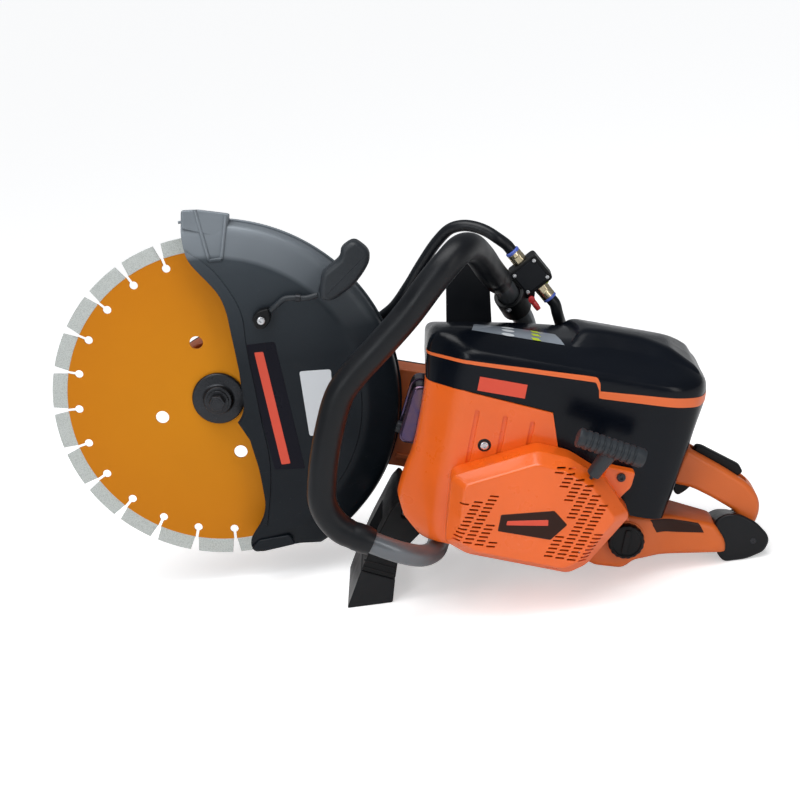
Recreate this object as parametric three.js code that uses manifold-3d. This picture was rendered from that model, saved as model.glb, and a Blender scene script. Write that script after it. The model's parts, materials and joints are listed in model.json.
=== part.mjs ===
// Petrol-driven concrete cut-off saw with a 350 mm diamond blade.
//
// The machine is drawn in its own frame, with the blade spindle at the origin:
// +X runs to the rear handle, +Y to the belt side (the operator's right) and
// +Z up, square to the engine's top cover. Standing on its front foot and its
// rear damper, the machine leans back, and the last group turns it so that Z=0
// is the floor. All lengths are in millimetres.

import * as THREE from 'three';
import { mergeVertices } from 'three/addons/utils/BufferGeometryUtils.js';
import Module from 'manifold-3d';

const wasm = await Module();
wasm.setup();

// -- driving dimensions -----------------------------------------------------

const GAP = 0.3; // clearance between neighbouring solids
const STAND_PITCH = THREE.MathUtils.degToRad(18); // lean back when standing
const FLOOR_DROP = 218.5; // the floor line below the spindle, along machine Z

const BLADE_RADIUS = 175;
const CORE_RADIUS = 160; // the steel core, inside the diamond segments
const BLADE_THICKNESS = 3;
const SEGMENT_COUNT = 24;
const KEYHOLE_CIRCLE = 148.4;
const KEYHOLE_RADIUS = 4.4;
const SLOT_HALF = 1.7;
const FLANGE_RADIUS = 26;
const SPINDLE_RADIUS = 10;

const GUARD_RADIUS = 191;
const GUARD_WALL = 2.6;
const GUARD_LEFT = -30; // outer face of the left wall
const GUARD_RIGHT = 24; // outer face of the right wall
const HUB_RADIUS = 29.6; // the arm's hub, on which the guard turns

const CRANK_X = 332; // crankshaft axis behind the spindle
const SHAFT_RADIUS = 8;
const ARM_LEFT = 26; // the arm's inner face
const ARM_RIGHT = 56; // its open side, closed by the belt cover
const ARM_WALL = 5;
const BELT_LEFT = 39;
const BELT_RIGHT = 49;
const BLADE_GROOVE = 43; // groove radius of the blade pulley
const DRUM_GROOVE = 22.5; // groove radius of the drum pulley
const BELT_SLACK = 0.9;
const BELT_THICKNESS = 4.5;

const CYLINDER_Y = -39; // the cylinder's axis across the machine
const BORE = 28.3;
const COVER_WALL = 3;
const HANDLE_TUBE = 11;
const SLEEVE_OUTER = 14.2;
const HOSE_RADIUS = 6;

// -- colours ----------------------------------------------------------------

const paint = (color, roughness = 0.5, metalness = 0) =>
  new THREE.MeshStandardMaterial({ color, roughness, metalness });
const ORANGE = paint(0xf07028, 0.35);
const DULL_ORANGE = paint(0xd87038, 0.5);
const BLACK_GLOSS = paint(0x1a2028, 0.25);
const BLACK_MATTE = paint(0x1c1e20, 0.7);
const GUARD_GREY = paint(0x4a545c, 0.45, 0.4);
const RUBBER = paint(0x202225, 0.85);
const STEEL = paint(0xa8adb2, 0.3, 0.9);
const DARK_STEEL = paint(0x2c3136, 0.35, 0.8);
const TUBE_GREY = paint(0x7d8489, 0.4, 0.6);
const BLADE_PAINT = paint(0xd8901a, 0.4, 0.3);
const ALUMINIUM = paint(0xb0b4b6, 0.45, 0.8);
const BRASS = paint(0xc8b078, 0.3, 0.9);
const RED = paint(0xc83c46, 0.4);

// -- from three.js shapes to closed solids ----------------------------------

function closedBody(geometry) {
  const bare = geometry.clone();
  for (const name of ['normal', 'uv']) bare.deleteAttribute(name);
  const merged = mergeVertices(bare, 1e-4);
  const corners = [];
  for (let i = 0; i < merged.index.count; i += 3) {
    const [a, b, c] = [0, 1, 2].map((k) => merged.index.getX(i + k));
    if (a !== b && b !== c && c !== a) corners.push(a, b, c);
  }
  if (volume(merged.attributes.position, corners) < 0) corners.reverse();
  merged.setIndex(corners);
  merged.clearGroups();
  return merged;
}

function volume(position, corners) {
  const [a, b, c] = [0, 1, 2].map(() => new THREE.Vector3());
  let sum = 0;
  for (let i = 0; i < corners.length; i += 3) {
    a.fromBufferAttribute(position, corners[i]);
    b.fromBufferAttribute(position, corners[i + 1]);
    c.fromBufferAttribute(position, corners[i + 2]);
    sum += a.dot(b.cross(c)) / 6;
  }
  return sum;
}

function solid(geometry) {
  const body = closedBody(geometry);
  return new wasm.Manifold(
    new wasm.Mesh({
      numProp: 3,
      vertProperties: new Float32Array(body.attributes.position.array),
      triVerts: new Uint32Array(body.index.array),
    }),
  );
}

function geometryOf(manifold) {
  const mesh = manifold.getMesh();
  const geometry = new THREE.BufferGeometry();
  geometry.setAttribute('position', new THREE.BufferAttribute(mesh.vertProperties, 3));
  geometry.setIndex(new THREE.BufferAttribute(mesh.triVerts, 1));
  return geometry;
}

const join = (...shapes) => geometryOf(shapes.map(solid).reduce((a, b) => a.add(b)));
const cut = (base, ...tools) =>
  geometryOf(tools.map(solid).reduce((a, b) => a.subtract(b), solid(base)));
const common = (...shapes) => geometryOf(shapes.map(solid).reduce((a, b) => a.intersect(b)));

// -- shape helpers ----------------------------------------------------------

const vector = (x, y, z) => new THREE.Vector3(x, y, z);

function flat(outline, holes = []) {
  const points = (list) => list.map(([x, y]) => new THREE.Vector2(x, y));
  const shape = new THREE.Shape(points(outline));
  for (const hole of holes) shape.holes.push(new THREE.Path(points(hole)));
  return shape;
}

function extruded(outline, depth, holes) {
  return new THREE.ExtrudeGeometry(flat(outline, holes), { depth, bevelEnabled: false });
}

// An outline of [x, z] pairs, solid from Y=left to Y=right.
function sideSlab(outline, left, right, holes) {
  const shape = extruded(outline, right - left, holes);
  shape.rotateX(Math.PI / 2);
  return shape.translate(0, right, 0);
}

// An outline of [y, z] pairs, solid from X=front to X=rear.
function frontSlab(outline, front, rear) {
  const axes = new THREE.Matrix4().makeBasis(vector(0, 1, 0), vector(0, 0, 1), vector(1, 0, 0));
  return extruded(outline, rear - front)
    .applyMatrix4(axes)
    .translate(front, 0, 0);
}

// An outline of [x, y] pairs, solid from Z=bottom to Z=top.
function planSlab(outline, bottom, top) {
  return extruded(outline, top - bottom).translate(0, 0, bottom);
}

function block([x0, x1], [y0, y1], [z0, z1]) {
  return new THREE.BoxGeometry(x1 - x0, y1 - y0, z1 - z0).translate(
    (x0 + x1) / 2,
    (y0 + y1) / 2,
    (z0 + z1) / 2,
  );
}

// A profile of [radius, along] pairs turned about the Y axis.
function turned(profile, sides = 24) {
  return new THREE.LatheGeometry(flatPoints(profile), sides);
}

// The same about the Z axis.
function upright(profile, sides = 20) {
  return turned(profile, sides).rotateX(Math.PI / 2);
}

const flatPoints = (list) => list.map(([x, y]) => new THREE.Vector2(x, y));

// A closed ring profile for turned() and upright().
const ring = (profile) => [...profile, profile[0]];

const disc = (radius, from, to, sides) =>
  turned([[0, from], [radius, from], [radius, to], [0, to]], sides);

const tubeRing = (inner, outer, from, to, sides) =>
  turned(ring([[inner, from], [outer, from], [outer, to], [inner, to]]), sides);

// Points of a circular arc, with both ends, angles in degrees.
function arc([x, y], radius, from, to, steps) {
  return Array.from({ length: steps + 1 }, (_, i) => {
    const angle = THREE.MathUtils.degToRad(from + ((to - from) * i) / steps);
    return [x + radius * Math.cos(angle), y + radius * Math.sin(angle)];
  });
}

// An outline with each corner cut back and rounded.
function rounded(outline, radius, steps = 2) {
  const count = outline.length;
  return outline.flatMap((corner, i) => {
    const [before, here, after] = [outline[(i + count - 1) % count], corner, outline[(i + 1) % count]]
      .map(([x, y]) => new THREE.Vector2(x, y));
    const back = Math.min(radius, here.distanceTo(before) / 2.2);
    const on = Math.min(radius, here.distanceTo(after) / 2.2);
    const start = here.clone().add(before.sub(here).setLength(back));
    const end = here.clone().add(after.sub(here).setLength(on));
    return new THREE.QuadraticBezierCurve(start, here, end).getPoints(steps).map((p) => [p.x, p.y]);
  });
}

// An outline moved inwards by one wall thickness.
function inset(outline, wall) {
  const count = outline.length;
  const side = Math.sign(THREE.ShapeUtils.area(flatPoints(outline)));
  return outline.map((point, i) => {
    const normals = [[outline[(i + count - 1) % count], point], [point, outline[(i + 1) % count]]]
      .map(([a, b]) => new THREE.Vector2(a[1] - b[1], b[0] - a[0]).normalize().multiplyScalar(side));
    const reach = wall / (1 + normals[0].dot(normals[1]));
    const step = normals[0].add(normals[1]).multiplyScalar(reach);
    return [point[0] + step.x, point[1] + step.y];
  });
}

// A round bar or pipe along a smooth curve through the points.
function tube(points, radius, steps, sides = 10, bore = 0) {
  const path = new THREE.CatmullRomCurve3(points.map((p) => vector(...p)), false, 'centripetal');
  const holes = bore ? [arc([0, 0], bore, 360, 360 / sides, sides - 1)] : [];
  const section = flat(arc([0, 0], radius, 0, 360 - 360 / sides, sides - 1), holes);
  return new THREE.ExtrudeGeometry(section, { steps, bevelEnabled: false, extrudePath: path });
}

// A round bar from one point straight to another.
function rod(from, to, radius, sides = 10) {
  const path = new THREE.LineCurve3(vector(...from), vector(...to));
  const section = flat(arc([0, 0], radius, 0, 360 - 360 / sides, sides - 1));
  return new THREE.ExtrudeGeometry(section, { steps: 1, bevelEnabled: false, extrudePath: path });
}

const machine = new THREE.Group();

function part(name, geometry, material, [x, y, z] = [0, 0, 0]) {
  const mesh = new THREE.Mesh(closedBody(geometry), material);
  mesh.name = name;
  mesh.position.set(x, y, z);
  machine.add(mesh);
  return mesh;
}

// -- blade, flanges and spindle ---------------------------------------------

function bladeOutline() {
  const pitch = 360 / SEGMENT_COUNT;
  const half = THREE.MathUtils.radToDeg(KEYHOLE_RADIUS / BLADE_RADIUS);
  return Array.from({ length: SEGMENT_COUNT }, (_, i) => {
    const centre = THREE.MathUtils.degToRad(i * pitch);
    const local = (radius, across) => [
      radius * Math.cos(centre) - across * Math.sin(centre),
      radius * Math.sin(centre) + across * Math.cos(centre),
    ];
    return [
      local(BLADE_RADIUS, -KEYHOLE_RADIUS),
      local(CORE_RADIUS, -SLOT_HALF),
      local(KEYHOLE_CIRCLE + KEYHOLE_RADIUS, -SLOT_HALF),
      local(KEYHOLE_CIRCLE, -KEYHOLE_RADIUS),
      local(KEYHOLE_CIRCLE - KEYHOLE_RADIUS, 0),
      local(KEYHOLE_CIRCLE, KEYHOLE_RADIUS),
      local(KEYHOLE_CIRCLE + KEYHOLE_RADIUS, SLOT_HALF),
      local(CORE_RADIUS, SLOT_HALF),
      ...arc([0, 0], BLADE_RADIUS, i * pitch + half, (i + 1) * pitch - half, 2).slice(0, 2),
    ];
  }).flat();
}

function blade() {
  const bore = arc([0, 0], SPINDLE_RADIUS + GAP + 0.2, 360, 15, 23);
  const coolingHoles = [26, 116, 206, 296].map((angle) => {
    const [centre] = arc([0, 0], 64, angle, angle, 1);
    return arc(centre, 7, 360, 36, 9);
  });
  const half = BLADE_THICKNESS / 2;
  return sideSlab(bladeOutline(), -half, half, [bore, ...coolingHoles]);
}

part('blade', blade(), BLADE_PAINT);
part(
  'inner_flange',
  tubeRing(SPINDLE_RADIUS + GAP, FLANGE_RADIUS, BLADE_THICKNESS / 2 + GAP, 10),
  DARK_STEEL,
);
part(
  'outer_flange',
  turned(ring([[5.4, -1.8], [FLANGE_RADIUS, -1.8], [FLANGE_RADIUS, -5], [23, -9], [17, -13], [5.4, -13]])),
  DARK_STEEL,
);

function arborBolt() {
  const head = new THREE.CylinderGeometry(8.1, 8.1, 8, 6).translate(0, -20, 0);
  const shank = turned([[0, 20], [5, 20], [5, -13.3], [9.5, -13.3], [9.5, -16.2], [0, -16.2]], 16);
  return join(head, shank);
}

part('arbor_bolt', arborBolt(), DARK_STEEL);

const spindleProfile = [
  [0, 22.5], [5.4, 22.5], [5.4, -1.2], [SPINDLE_RADIUS, -1.2], [SPINDLE_RADIUS, 10.3],
  [13, 10.3], [13, 20], [SPINDLE_RADIUS, 20], [SPINDLE_RADIUS, 54], [0, 54],
];
part('spindle', turned(spindleProfile), STEEL);
part('spindle_bearing', tubeRing(SPINDLE_RADIUS + GAP, 20, 20.6, 33.5), STEEL);

function grooved(bore, groove, flange, left, right) {
  return turned(ring([
    [bore, left], [flange, left], [flange, left + 1.6], [groove, left + 2.4],
    [groove, right - 2.4], [flange, right - 1.6], [flange, right], [bore, right],
  ]));
}

part('blade_pulley', grooved(SPINDLE_RADIUS + GAP, BLADE_GROOVE, 47, 36, 52), DARK_STEEL);

// -- belt, clutch and crankshaft --------------------------------------------

function beltLoop(offset) {
  const front = BLADE_GROOVE + offset;
  const rear = DRUM_GROOVE + offset;
  const lean = THREE.MathUtils.radToDeg(Math.acos((front - rear) / CRANK_X));
  return [...arc([CRANK_X, 0], rear, -lean, lean, 9), ...arc([0, 0], front, lean, 360 - lean, 15)];
}

part(
  'drive_belt',
  sideSlab(beltLoop(BELT_SLACK + BELT_THICKNESS), BELT_LEFT, BELT_RIGHT, [beltLoop(BELT_SLACK)]),
  RUBBER,
);

function clutchDrum() {
  const bore = SHAFT_RADIUS + GAP;
  return turned(ring([
    [bore, 31], [37, 31], [37, 13], [40, 13], [40, 34], [18, 34], [18, 36], [27, 36], [27, 37.6],
    [DRUM_GROOVE, 38.4], [DRUM_GROOVE, 49.6], [27, 50.4], [27, 52], [bore, 52],
  ]));
}

part('clutch_drum', clutchDrum(), DARK_STEEL, [CRANK_X, 0, 0]);

function clutchHub() {
  const shoes = [0, 120, 240].flatMap((start) => [
    ...arc([0, 0], 36, start, start + 96, 6),
    ...arc([0, 0], 24, start + 101, start + 115, 1),
  ]);
  return sideSlab(shoes, 14, 29, [arc([0, 0], SHAFT_RADIUS + GAP, 360, 30, 11)]);
}

part('clutch_hub', clutchHub(), STEEL, [CRANK_X, 0, 0]);

function crankshaft() {
  const throwRadius = 17;
  const web = (left, right) =>
    sideSlab(
      [...arc([0, 0], 26, 150, 390, 9), [9, throwRadius + 8], [-9, throwRadius + 8]],
      left,
      right,
    );
  const pin = disc(6, -47, -31, 12).translate(0, 0, throwRadius);
  return join(disc(SHAFT_RADIUS, -162, -46, 16), web(-54, -46), pin, web(-32, -24), disc(SHAFT_RADIUS, -32, 54, 16));
}

part('crankshaft', crankshaft(), STEEL, [CRANK_X, 0, 0]);

function flywheel() {
  const rim = tubeRing(SHAFT_RADIUS + GAP, 55, -134, -126);
  const fins = Array.from({ length: 8 }, (_, i) =>
    block([22, 53], [-148, -133], [-1.5, 1.5]).rotateY((i * Math.PI) / 4),
  );
  return join(rim, tubeRing(SHAFT_RADIUS + GAP, 16, -148, -133), ...fins);
}

part('flywheel', flywheel(), ALUMINIUM, [CRANK_X, 0, 0]);

// -- crankcase and cylinder -------------------------------------------------

function crankcase() {
  const chamber = block([-44, 44], [-66, -4], [-52, 37.7]);
  const clutchBell = block([-62, 62], [-5, ARM_LEFT - GAP], [-56, 46]);
  const footLug = block([-126, -40], [-110, -14], [-56, -46]);
  const bell = disc(44, 4, ARM_LEFT + 1, 24);
  const crankRoom = disc(30, -57, -21, 20);
  const shaftBore = disc(SHAFT_RADIUS + 0.6, -70, 6, 16);
  const mouth = upright([[0, 0], [BORE, 0], [BORE, 40], [0, 40]]).translate(0, CYLINDER_Y, 0);
  return cut(join(chamber, clutchBell, footLug), bell, crankRoom, shaftBore, mouth);
}

part('crankcase', crankcase(), ALUMINIUM, [CRANK_X, 0, 0]);

function cylinder() {
  const fins = [50, 60, 70, 80, 90].flatMap((z) => [[33, z], [42, z], [42, z + 3.5], [33, z + 3.5]]);
  return upright(ring([[5.4, 98], [BORE, 98], [BORE, 38], [33, 38], ...fins, [33, 101], [5.4, 105]]), 16);
}

part('cylinder', cylinder(), ALUMINIUM, [CRANK_X, CYLINDER_Y, 0]);
part(
  'piston',
  upright([[0, 88], [24, 88], [24, 66], [27, 66], [27, 95], [0, 95]], 16),
  ALUMINIUM,
  [CRANK_X, CYLINDER_Y, 0],
);
part(
  'spark_plug',
  upright([[0, 99], [5, 99], [5, 105.6], [9, 105.6], [9, 113], [6, 114], [7, 132], [0, 134]], 12),
  STEEL,
  [CRANK_X, CYLINDER_Y, 0],
);

function muffler() {
  const outline = rounded([[187, 22], [193, 84], [244, 84], [244, 22]], 8);
  const can = sideSlab(outline, -116, -66);
  const port = rod([243, -75, 62], [285.5, -48, 62], 11, 12);
  const hollow = sideSlab(inset(outline, 1.5), -114.5, -67.5);
  return cut(join(can, port), hollow, rod([180, -104, 34], [200, -104, 34], 6, 10));
}

part('muffler', muffler(), STEEL);
part(
  'carburettor',
  cut(block([379, 408], [-60, -18], [44, 82]), rod([370, CYLINDER_Y, 63], [415, CYLINDER_Y, 63], 10)),
  ALUMINIUM,
);
part('air_filter', block([386, 458], [-140, -40], [88, 136]), BLACK_MATTE);

// -- cutting arm and belt cover ---------------------------------------------

function armOutline() {
  return [
    ...arc([0, 0], 56, 90, 270, 10), [203, -52],
    ...arc([CRANK_X, 0], 60, -80, 80, 8), [182, 57],
  ];
}

function cuttingArm() {
  const trough = cut(
    sideSlab(armOutline(), ARM_LEFT, ARM_RIGHT),
    sideSlab(inset(armOutline(), ARM_WALL), ARM_LEFT + ARM_WALL, ARM_RIGHT + 1),
  );
  const hub = disc(HUB_RADIUS, 20.5, 34, 28);
  return cut(
    join(trough, hub),
    disc(20.4, 20, 35, 24),
    disc(42, ARM_LEFT - 1, 33, 24).translate(CRANK_X, 0, 0),
  );
}

part('cutting_arm', cuttingArm(), DULL_ORANGE);

const beltCoverScrews = [[-49, 13], [190, -48.5], [377, 37]];

function beltCover() {
  const seat = ARM_RIGHT + GAP;
  const plate = join(
    sideSlab(armOutline(), seat, seat + 3),
    sideSlab(inset(armOutline(), 9), seat + 2, seat + 8),
  );
  const inside = sideSlab(inset(armOutline(), 12), seat - 1, seat + 5);
  const holes = beltCoverScrews.map(([x, z]) => disc(2.4, seat - 1, seat + 4, 10).translate(x, 0, z));
  return cut(plate, inside, ...holes);
}

part('belt_cover', beltCover(), BLACK_GLOSS);
beltCoverScrews.forEach(([x, z], i) => {
  const screw = turned([[0, 56.5], [2, 56.5], [2, 59.6], [4, 59.6], [4, 62.2], [0, 62.2]], 10);
  part(`belt_cover_screw_${i + 1}`, screw, STEEL, [x, 0, z]);
});

// -- blade guard ------------------------------------------------------------

// The open front edge, from the top tip round the flange to the bottom heel.
const guardFront = [
  [-69, 215], [-69, 200], [-63, 170], [-54, 150], [-43, 140], [-25, 127], [-13, 116], [-4, 100],
  [2, 83], [10, 62], [18, 40],
];
const guardHeel = [
  [40, -31], [55, -62], [68, -100], [67, -117], [57, -142], [63, -156], [72, -154], [110, -138],
  [128, -136],
];

function guardRegion(nearHub) {
  return [...guardFront, ...nearHub, ...guardHeel, [220, -136], [220, 215]];
}

const tipLug = [[-67, 199], [-64, 178], [-30, 176], [-5, 186], [14, 189], [14, 190.5], [-21, 201]];

function guardLeft() {
  const shoulder = GUARD_RADIUS - 34;
  const outer = turned(ring([
    [FLANGE_RADIUS + 2, GUARD_LEFT], [shoulder, GUARD_LEFT], [GUARD_RADIUS - 3, -20],
    [GUARD_RADIUS, -17], [GUARD_RADIUS, -GAP], [GUARD_RADIUS - GUARD_WALL, -GAP],
    [GUARD_RADIUS - GUARD_WALL, -16], [GUARD_RADIUS - 5, -18], [shoulder, GUARD_LEFT + GUARD_WALL],
    [FLANGE_RADIUS + 2, GUARD_LEFT + GUARD_WALL],
  ]), 48);
  const region = guardRegion(arc([0, 0], FLANGE_RADIUS + 2.5, 20, -30, 5));
  const lug = sideSlab(tipLug, -24, -GAP);
  const rim = disc(GUARD_RADIUS - GUARD_WALL, -40, 10, 48);
  return join(common(outer, sideSlab(region, -40, 10)), cut(lug, rim));
}

function guardRight() {
  const shoulder = GUARD_RADIUS - 34;
  const hole = HUB_RADIUS + GAP + 0.2;
  const outer = turned(ring([
    [hole, GUARD_RIGHT], [shoulder, GUARD_RIGHT], [GUARD_RADIUS - 3, 11], [GUARD_RADIUS, 8],
    [GUARD_RADIUS, GAP], [GUARD_RADIUS - GUARD_WALL, GAP], [GUARD_RADIUS - GUARD_WALL, 7],
    [GUARD_RADIUS - 5, 9], [shoulder, GUARD_RIGHT - GUARD_WALL], [hole, GUARD_RIGHT - GUARD_WALL],
  ]), 48);
  const region = guardRegion(arc([0, 0], 44, 70, 290, 12));
  return common(outer, sideSlab(region, -10, 40));
}

part('guard_left', guardLeft(), GUARD_GREY);
part('guard_right', guardRight(), GUARD_GREY);

const gripOutline = [
  [87, 136], [84, 163], [92, 172], [101, 183], [99, 192], [111, 204], [128, 195], [131, 185],
  [127, 172], [119, 156], [100, 136],
];
part('guard_grip', sideSlab(rounded(gripOutline, 5, 1), -52, GUARD_LEFT - GAP), BLACK_MATTE);
part(
  'water_pipe_left',
  tube([[40, -37, 113], [45, -38, 120], [52, -38, 128], [62, -38, 131], [73, -38, 132.5], [84.6, -38, 138]], 3, 14, 8),
  DARK_STEEL,
);

const nozzleOutline = [[22, 102], [27, 111], [37.5, 116], [42, 104], [37, 94], [29, 92]];
const nozzleHole = disc(2.4, -50, -20, 10).translate(32, 0, 102.5);
part(
  'nozzle_left',
  cut(
    sideSlab(nozzleOutline, -42, GUARD_LEFT - GAP),
    nozzleHole,
    rod([36.5, -36.5, 107], [44, -37.8, 118], 3.6, 8),
  ),
  BLACK_MATTE,
);
part(
  'nozzle_screw_left',
  turned([[0, -31], [2, -31], [2, -42.4], [4.2, -42.4], [4.2, -44.5], [0, -45]], 12),
  STEEL,
  [32, 0, 102.5],
);
part('nozzle_right', sideSlab(nozzleOutline, GUARD_RIGHT + GAP, 36), BLACK_MATTE);

// -- engine covers ----------------------------------------------------------

// The lower edge of the top cover, front to rear, which the side shroud meets.
const coverSeam = [
  [190, 106], [239, 101], [329, 94], [345, 48], [414, 48], [410, 20], [425, 2], [460, 1.5],
];
const coverTop = [
  [476, 95], [483, 122], [478, 141], [460, 155], [434, 163], [400, 168], [372, 168], [352, 160],
  [330, 157], [222, 156], [200, 150], [192, 133],
];
const coverAcross = [
  [-165, -40], [-165, 138], [-138, 152], [-112, 169], [-66, 169], [-44, 153], [-20, 128],
  [8, 100], [8, -40],
];
const coverPlan = [
  [192, -128], [220, -165], [442, -165], [469, -150], [483, -120], [483, -50], [469, -10],
  [448, 8], [214, 8], [192, -20],
];
const COVER_FALL = [0.165, -0.27]; // how its top rises to the rear and falls to the right

// All that lies under the cover's sloping top.
function underSlope(margin) {
  const [rise, fall] = COVER_FALL;
  const [left, right] = [-200, 40].map((y) => [y, 153 + fall * (y + 110) - margin]);
  const slope = frontSlab([[left[0], -100], left, right, [right[0], -100]], 150, 520);
  return slope.applyMatrix4(
    new THREE.Matrix4().set(1, 0, 0, 0, 0, 1, 0, 0, rise, 0, 1, -rise * 222, 0, 0, 0, 1),
  );
}

function topCover() {
  const side = [[192, -40], [455, -40], [460, 1.5], ...coverTop];
  const full = (margin) => common(
    sideSlab(inset(side, margin), -170, 10),
    frontSlab(inset(coverAcross, margin), 180, 490),
    planSlab(inset(coverPlan, margin), -60 + margin, 180),
    underSlope(margin),
  );
  const below = sideSlab([...coverSeam, ...coverTop], -170, 10);
  return common(cut(full(0), full(COVER_WALL)), below);
}

part('top_cover', topCover(), BLACK_GLOSS);

function sideShroud() {
  const seam = coverSeam.slice(1, 7).map(([x, z]) => [x - 0.4, z - 0.4]);
  const outline = [
    [194, 105], ...seam, [424.5, -2.5], [386, -2.5], [380, -59], [226, -59],
    [206, -45], [194, -23], [192.5, 9], [192, 41],
  ];
  const inner = [
    [197, 120], [195, 41], [195.5, 9], [197, -22], [208.5, -43], [227, -56], [440, -56], [440, 120],
  ];
  const plan = [[190, -119], [192, -128], [220, -165], [430, -165], [430, -119]];
  const hollow = [[195, -100], [195, -126.9], [221.4, -162], [440, -162], [440, -100]];
  return cut(
    common(sideSlab(outline, -170, -119), planSlab(plan, -70, 100)),
    common(sideSlab(inner, -170, -100), planSlab(hollow, -70, 130)),
    disc(46, -170, -150, 24).translate(CRANK_X, 0, 0),
  );
}

part('side_shroud', sideShroud(), ORANGE);

// -- recoil starter ---------------------------------------------------------

const STARTER_SEAT = -165 - GAP;
const STARTER_FACE = -205;
const starterOutline = [
  [241, 22], [247, -46], [270, -55], [372, -58], [388, -46], [420, 12], [388, 44], [350, 60],
  [318, 62],
];
const ropeStart = [358.4, -184, 2];
const ropeEnd = [376, -199, 54];
const pullAxis = vector(...ropeEnd).sub(vector(...ropeStart)).normalize();
const alongPull = (distance) =>
  vector(...ropeStart).addScaledVector(pullAxis, distance).toArray();

// A block whose left rim is chamfered, from its face to its seat.
function chamfered(outline, face, seat, across, deep) {
  const shape = new THREE.ExtrudeGeometry(flat(outline), {
    depth: seat - face - deep + 20,
    bevelThickness: deep,
    bevelSize: across,
    bevelOffset: -across,
    bevelSegments: 1,
  });
  shape.rotateX(Math.PI / 2).translate(0, seat + 20, 0);
  return common(shape, block([-600, 600], [face - 1, seat], [-300, 300]));
}

function starterCover() {
  const shell = cut(
    chamfered(starterOutline, STARTER_FACE, STARTER_SEAT, 13, 14),
    chamfered(inset(starterOutline, 3), STARTER_FACE + 3, STARTER_SEAT + 1, 11, 14),
  );
  const slots = [0, 1, 2, 3, 4].flatMap((row) => {
    const z = -38 + row * 8;
    return [[262, 280], [368 + row * 3, 384 + row * 3]].map(([x0, x1]) =>
      block([x0, x1], [STARTER_FACE - 5, STARTER_FACE + 20], [z, z + 3]));
  });
  const post = disc(5, STARTER_FACE + 1, -172, 12).translate(CRANK_X, 0, 0);
  return cut(join(shell, post), rod(alongPull(20), alongPull(80), 3.2), ...slots);
}

part('starter_cover', starterCover(), ORANGE);
part('starter_pulley', tubeRing(5.4, 24, -190, -178), BLACK_MATTE, [CRANK_X, 0, 0]);
part('starter_rope', rod(ropeStart, alongPull(61.7), 1.75, 8), RUBBER);

function starterHandle() {
  const grip = rod([352, -212, 87], [420, -212, 77], 9.5, 10);
  return join(grip, rod(alongPull(62), alongPull(86), 6.5, 8));
}

part('starter_handle', starterHandle(), BLACK_MATTE);

// -- fuel tank and rear handle ----------------------------------------------

const CAP = [428, -28];
const floorAt = (x) => x * Math.tan(STAND_PITCH) - FLOOR_DROP;

function fuelTank() {
  const side = [
    [392, -3], [392, -58], [404, -62], [432, -60], [442, -49], [524, -35.5], [519, -24],
    [516, -9], [465, -1], [425, -1],
  ];
  const plan = [
    [391, -150], [445, -150], [470, -136], [526, -130], [526, -88], [470, -78], [445, -30],
    [391, -30],
  ];
  const full = (margin) =>
    common(sideSlab(inset(side, margin), -160, -20), planSlab(inset(plan, margin), -70, 10));
  return cut(full(0), full(COVER_WALL), disc(14, -155, -140, 20).translate(CAP[0], 0, CAP[1]));
}

part('fuel_tank', fuelTank(), DULL_ORANGE);
part(
  'fuel_cap',
  turned([[0, -142], [13.4, -142], [13.4, -150.4], [18.5, -150.4], [18.5, -156], [16, -159], [0, -159]]),
  BLACK_MATTE,
  [CAP[0], 0, CAP[1]],
);

const HANDLE_LEFT = -115;
const HANDLE_RIGHT = -81;
const SLOT = [-104.5, -91.5];
const handleOutline = [
  [473, 66], [515, 51], [548, 37], [560, 24], [563, 10], [560, -6.5], [545, -8.5], [541, 6],
  [512, 17.6], [487, 25.2], [466, 25],
];

// A slab with both rims rounded over by a chamfer.
function softSlab(outline, left, right, chamfer) {
  return new THREE.ExtrudeGeometry(flat(outline), {
    depth: right - left - 2 * chamfer,
    bevelThickness: chamfer,
    bevelSize: chamfer,
    bevelOffset: -chamfer,
    bevelSegments: 1,
  })
    .rotateX(Math.PI / 2)
    .translate(0, right - chamfer, 0);
}

part(
  'rear_handle',
  cut(
    softSlab(handleOutline, HANDLE_LEFT, HANDLE_RIGHT, 6),
    sideSlab([[460, 12], [460, 46], [500, 46], [504, 12]], ...SLOT),
    sideSlab([[481, 48], [481, 75], [545, 60], [545, 30], [525, 29]], ...SLOT),
  ),
  DULL_ORANGE,
);
part(
  'throttle_trigger',
  sideSlab([[470, 26], [471, 40], [480, 43], [494, 40], [492, 26], [479, 10.5]], SLOT[0] + 1, SLOT[1] - 1),
  BLACK_MATTE,
);
part(
  'trigger_lock',
  sideSlab(
    [[484, 58], [486, 66], [492, 66.5], [534, 53], [539, 47], [533, 40], [490, 54]],
    SLOT[0] + 1,
    SLOT[1] - 1,
  ),
  BLACK_MATTE,
);

const damperOutline = [
  [517, -12], [520, -3], [529, 1], [558, 2], [571, -3], [577, -12], [574, -26], [558, floorAt(558)],
  [536, floorAt(536)], [527.5, -37],
];
part(
  'rear_damper',
  cut(
    sideSlab(rounded(damperOutline.slice(0, 7), 3, 1).concat(damperOutline.slice(7)), -130, -66),
    sideSlab(inset(handleOutline, -0.5), HANDLE_LEFT - 0.5, HANDLE_RIGHT + 0.5),
    sideSlab([[500, -60], [529, -60], [524.6, -35.5], [519.6, -24], [516.6, 10], [500, 10]], -131, -87),
  ),
  RUBBER,
);
part('stop_switch', block([500, 512], [HANDLE_RIGHT + GAP, -77], [34, 42]), RED);
part('choke_knob', turned([[0, 8.4], [7, 8.4], [8, 18], [0, 18]], 14), BLACK_MATTE, [438, 0, 86]);

// -- front handle -----------------------------------------------------------

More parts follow.
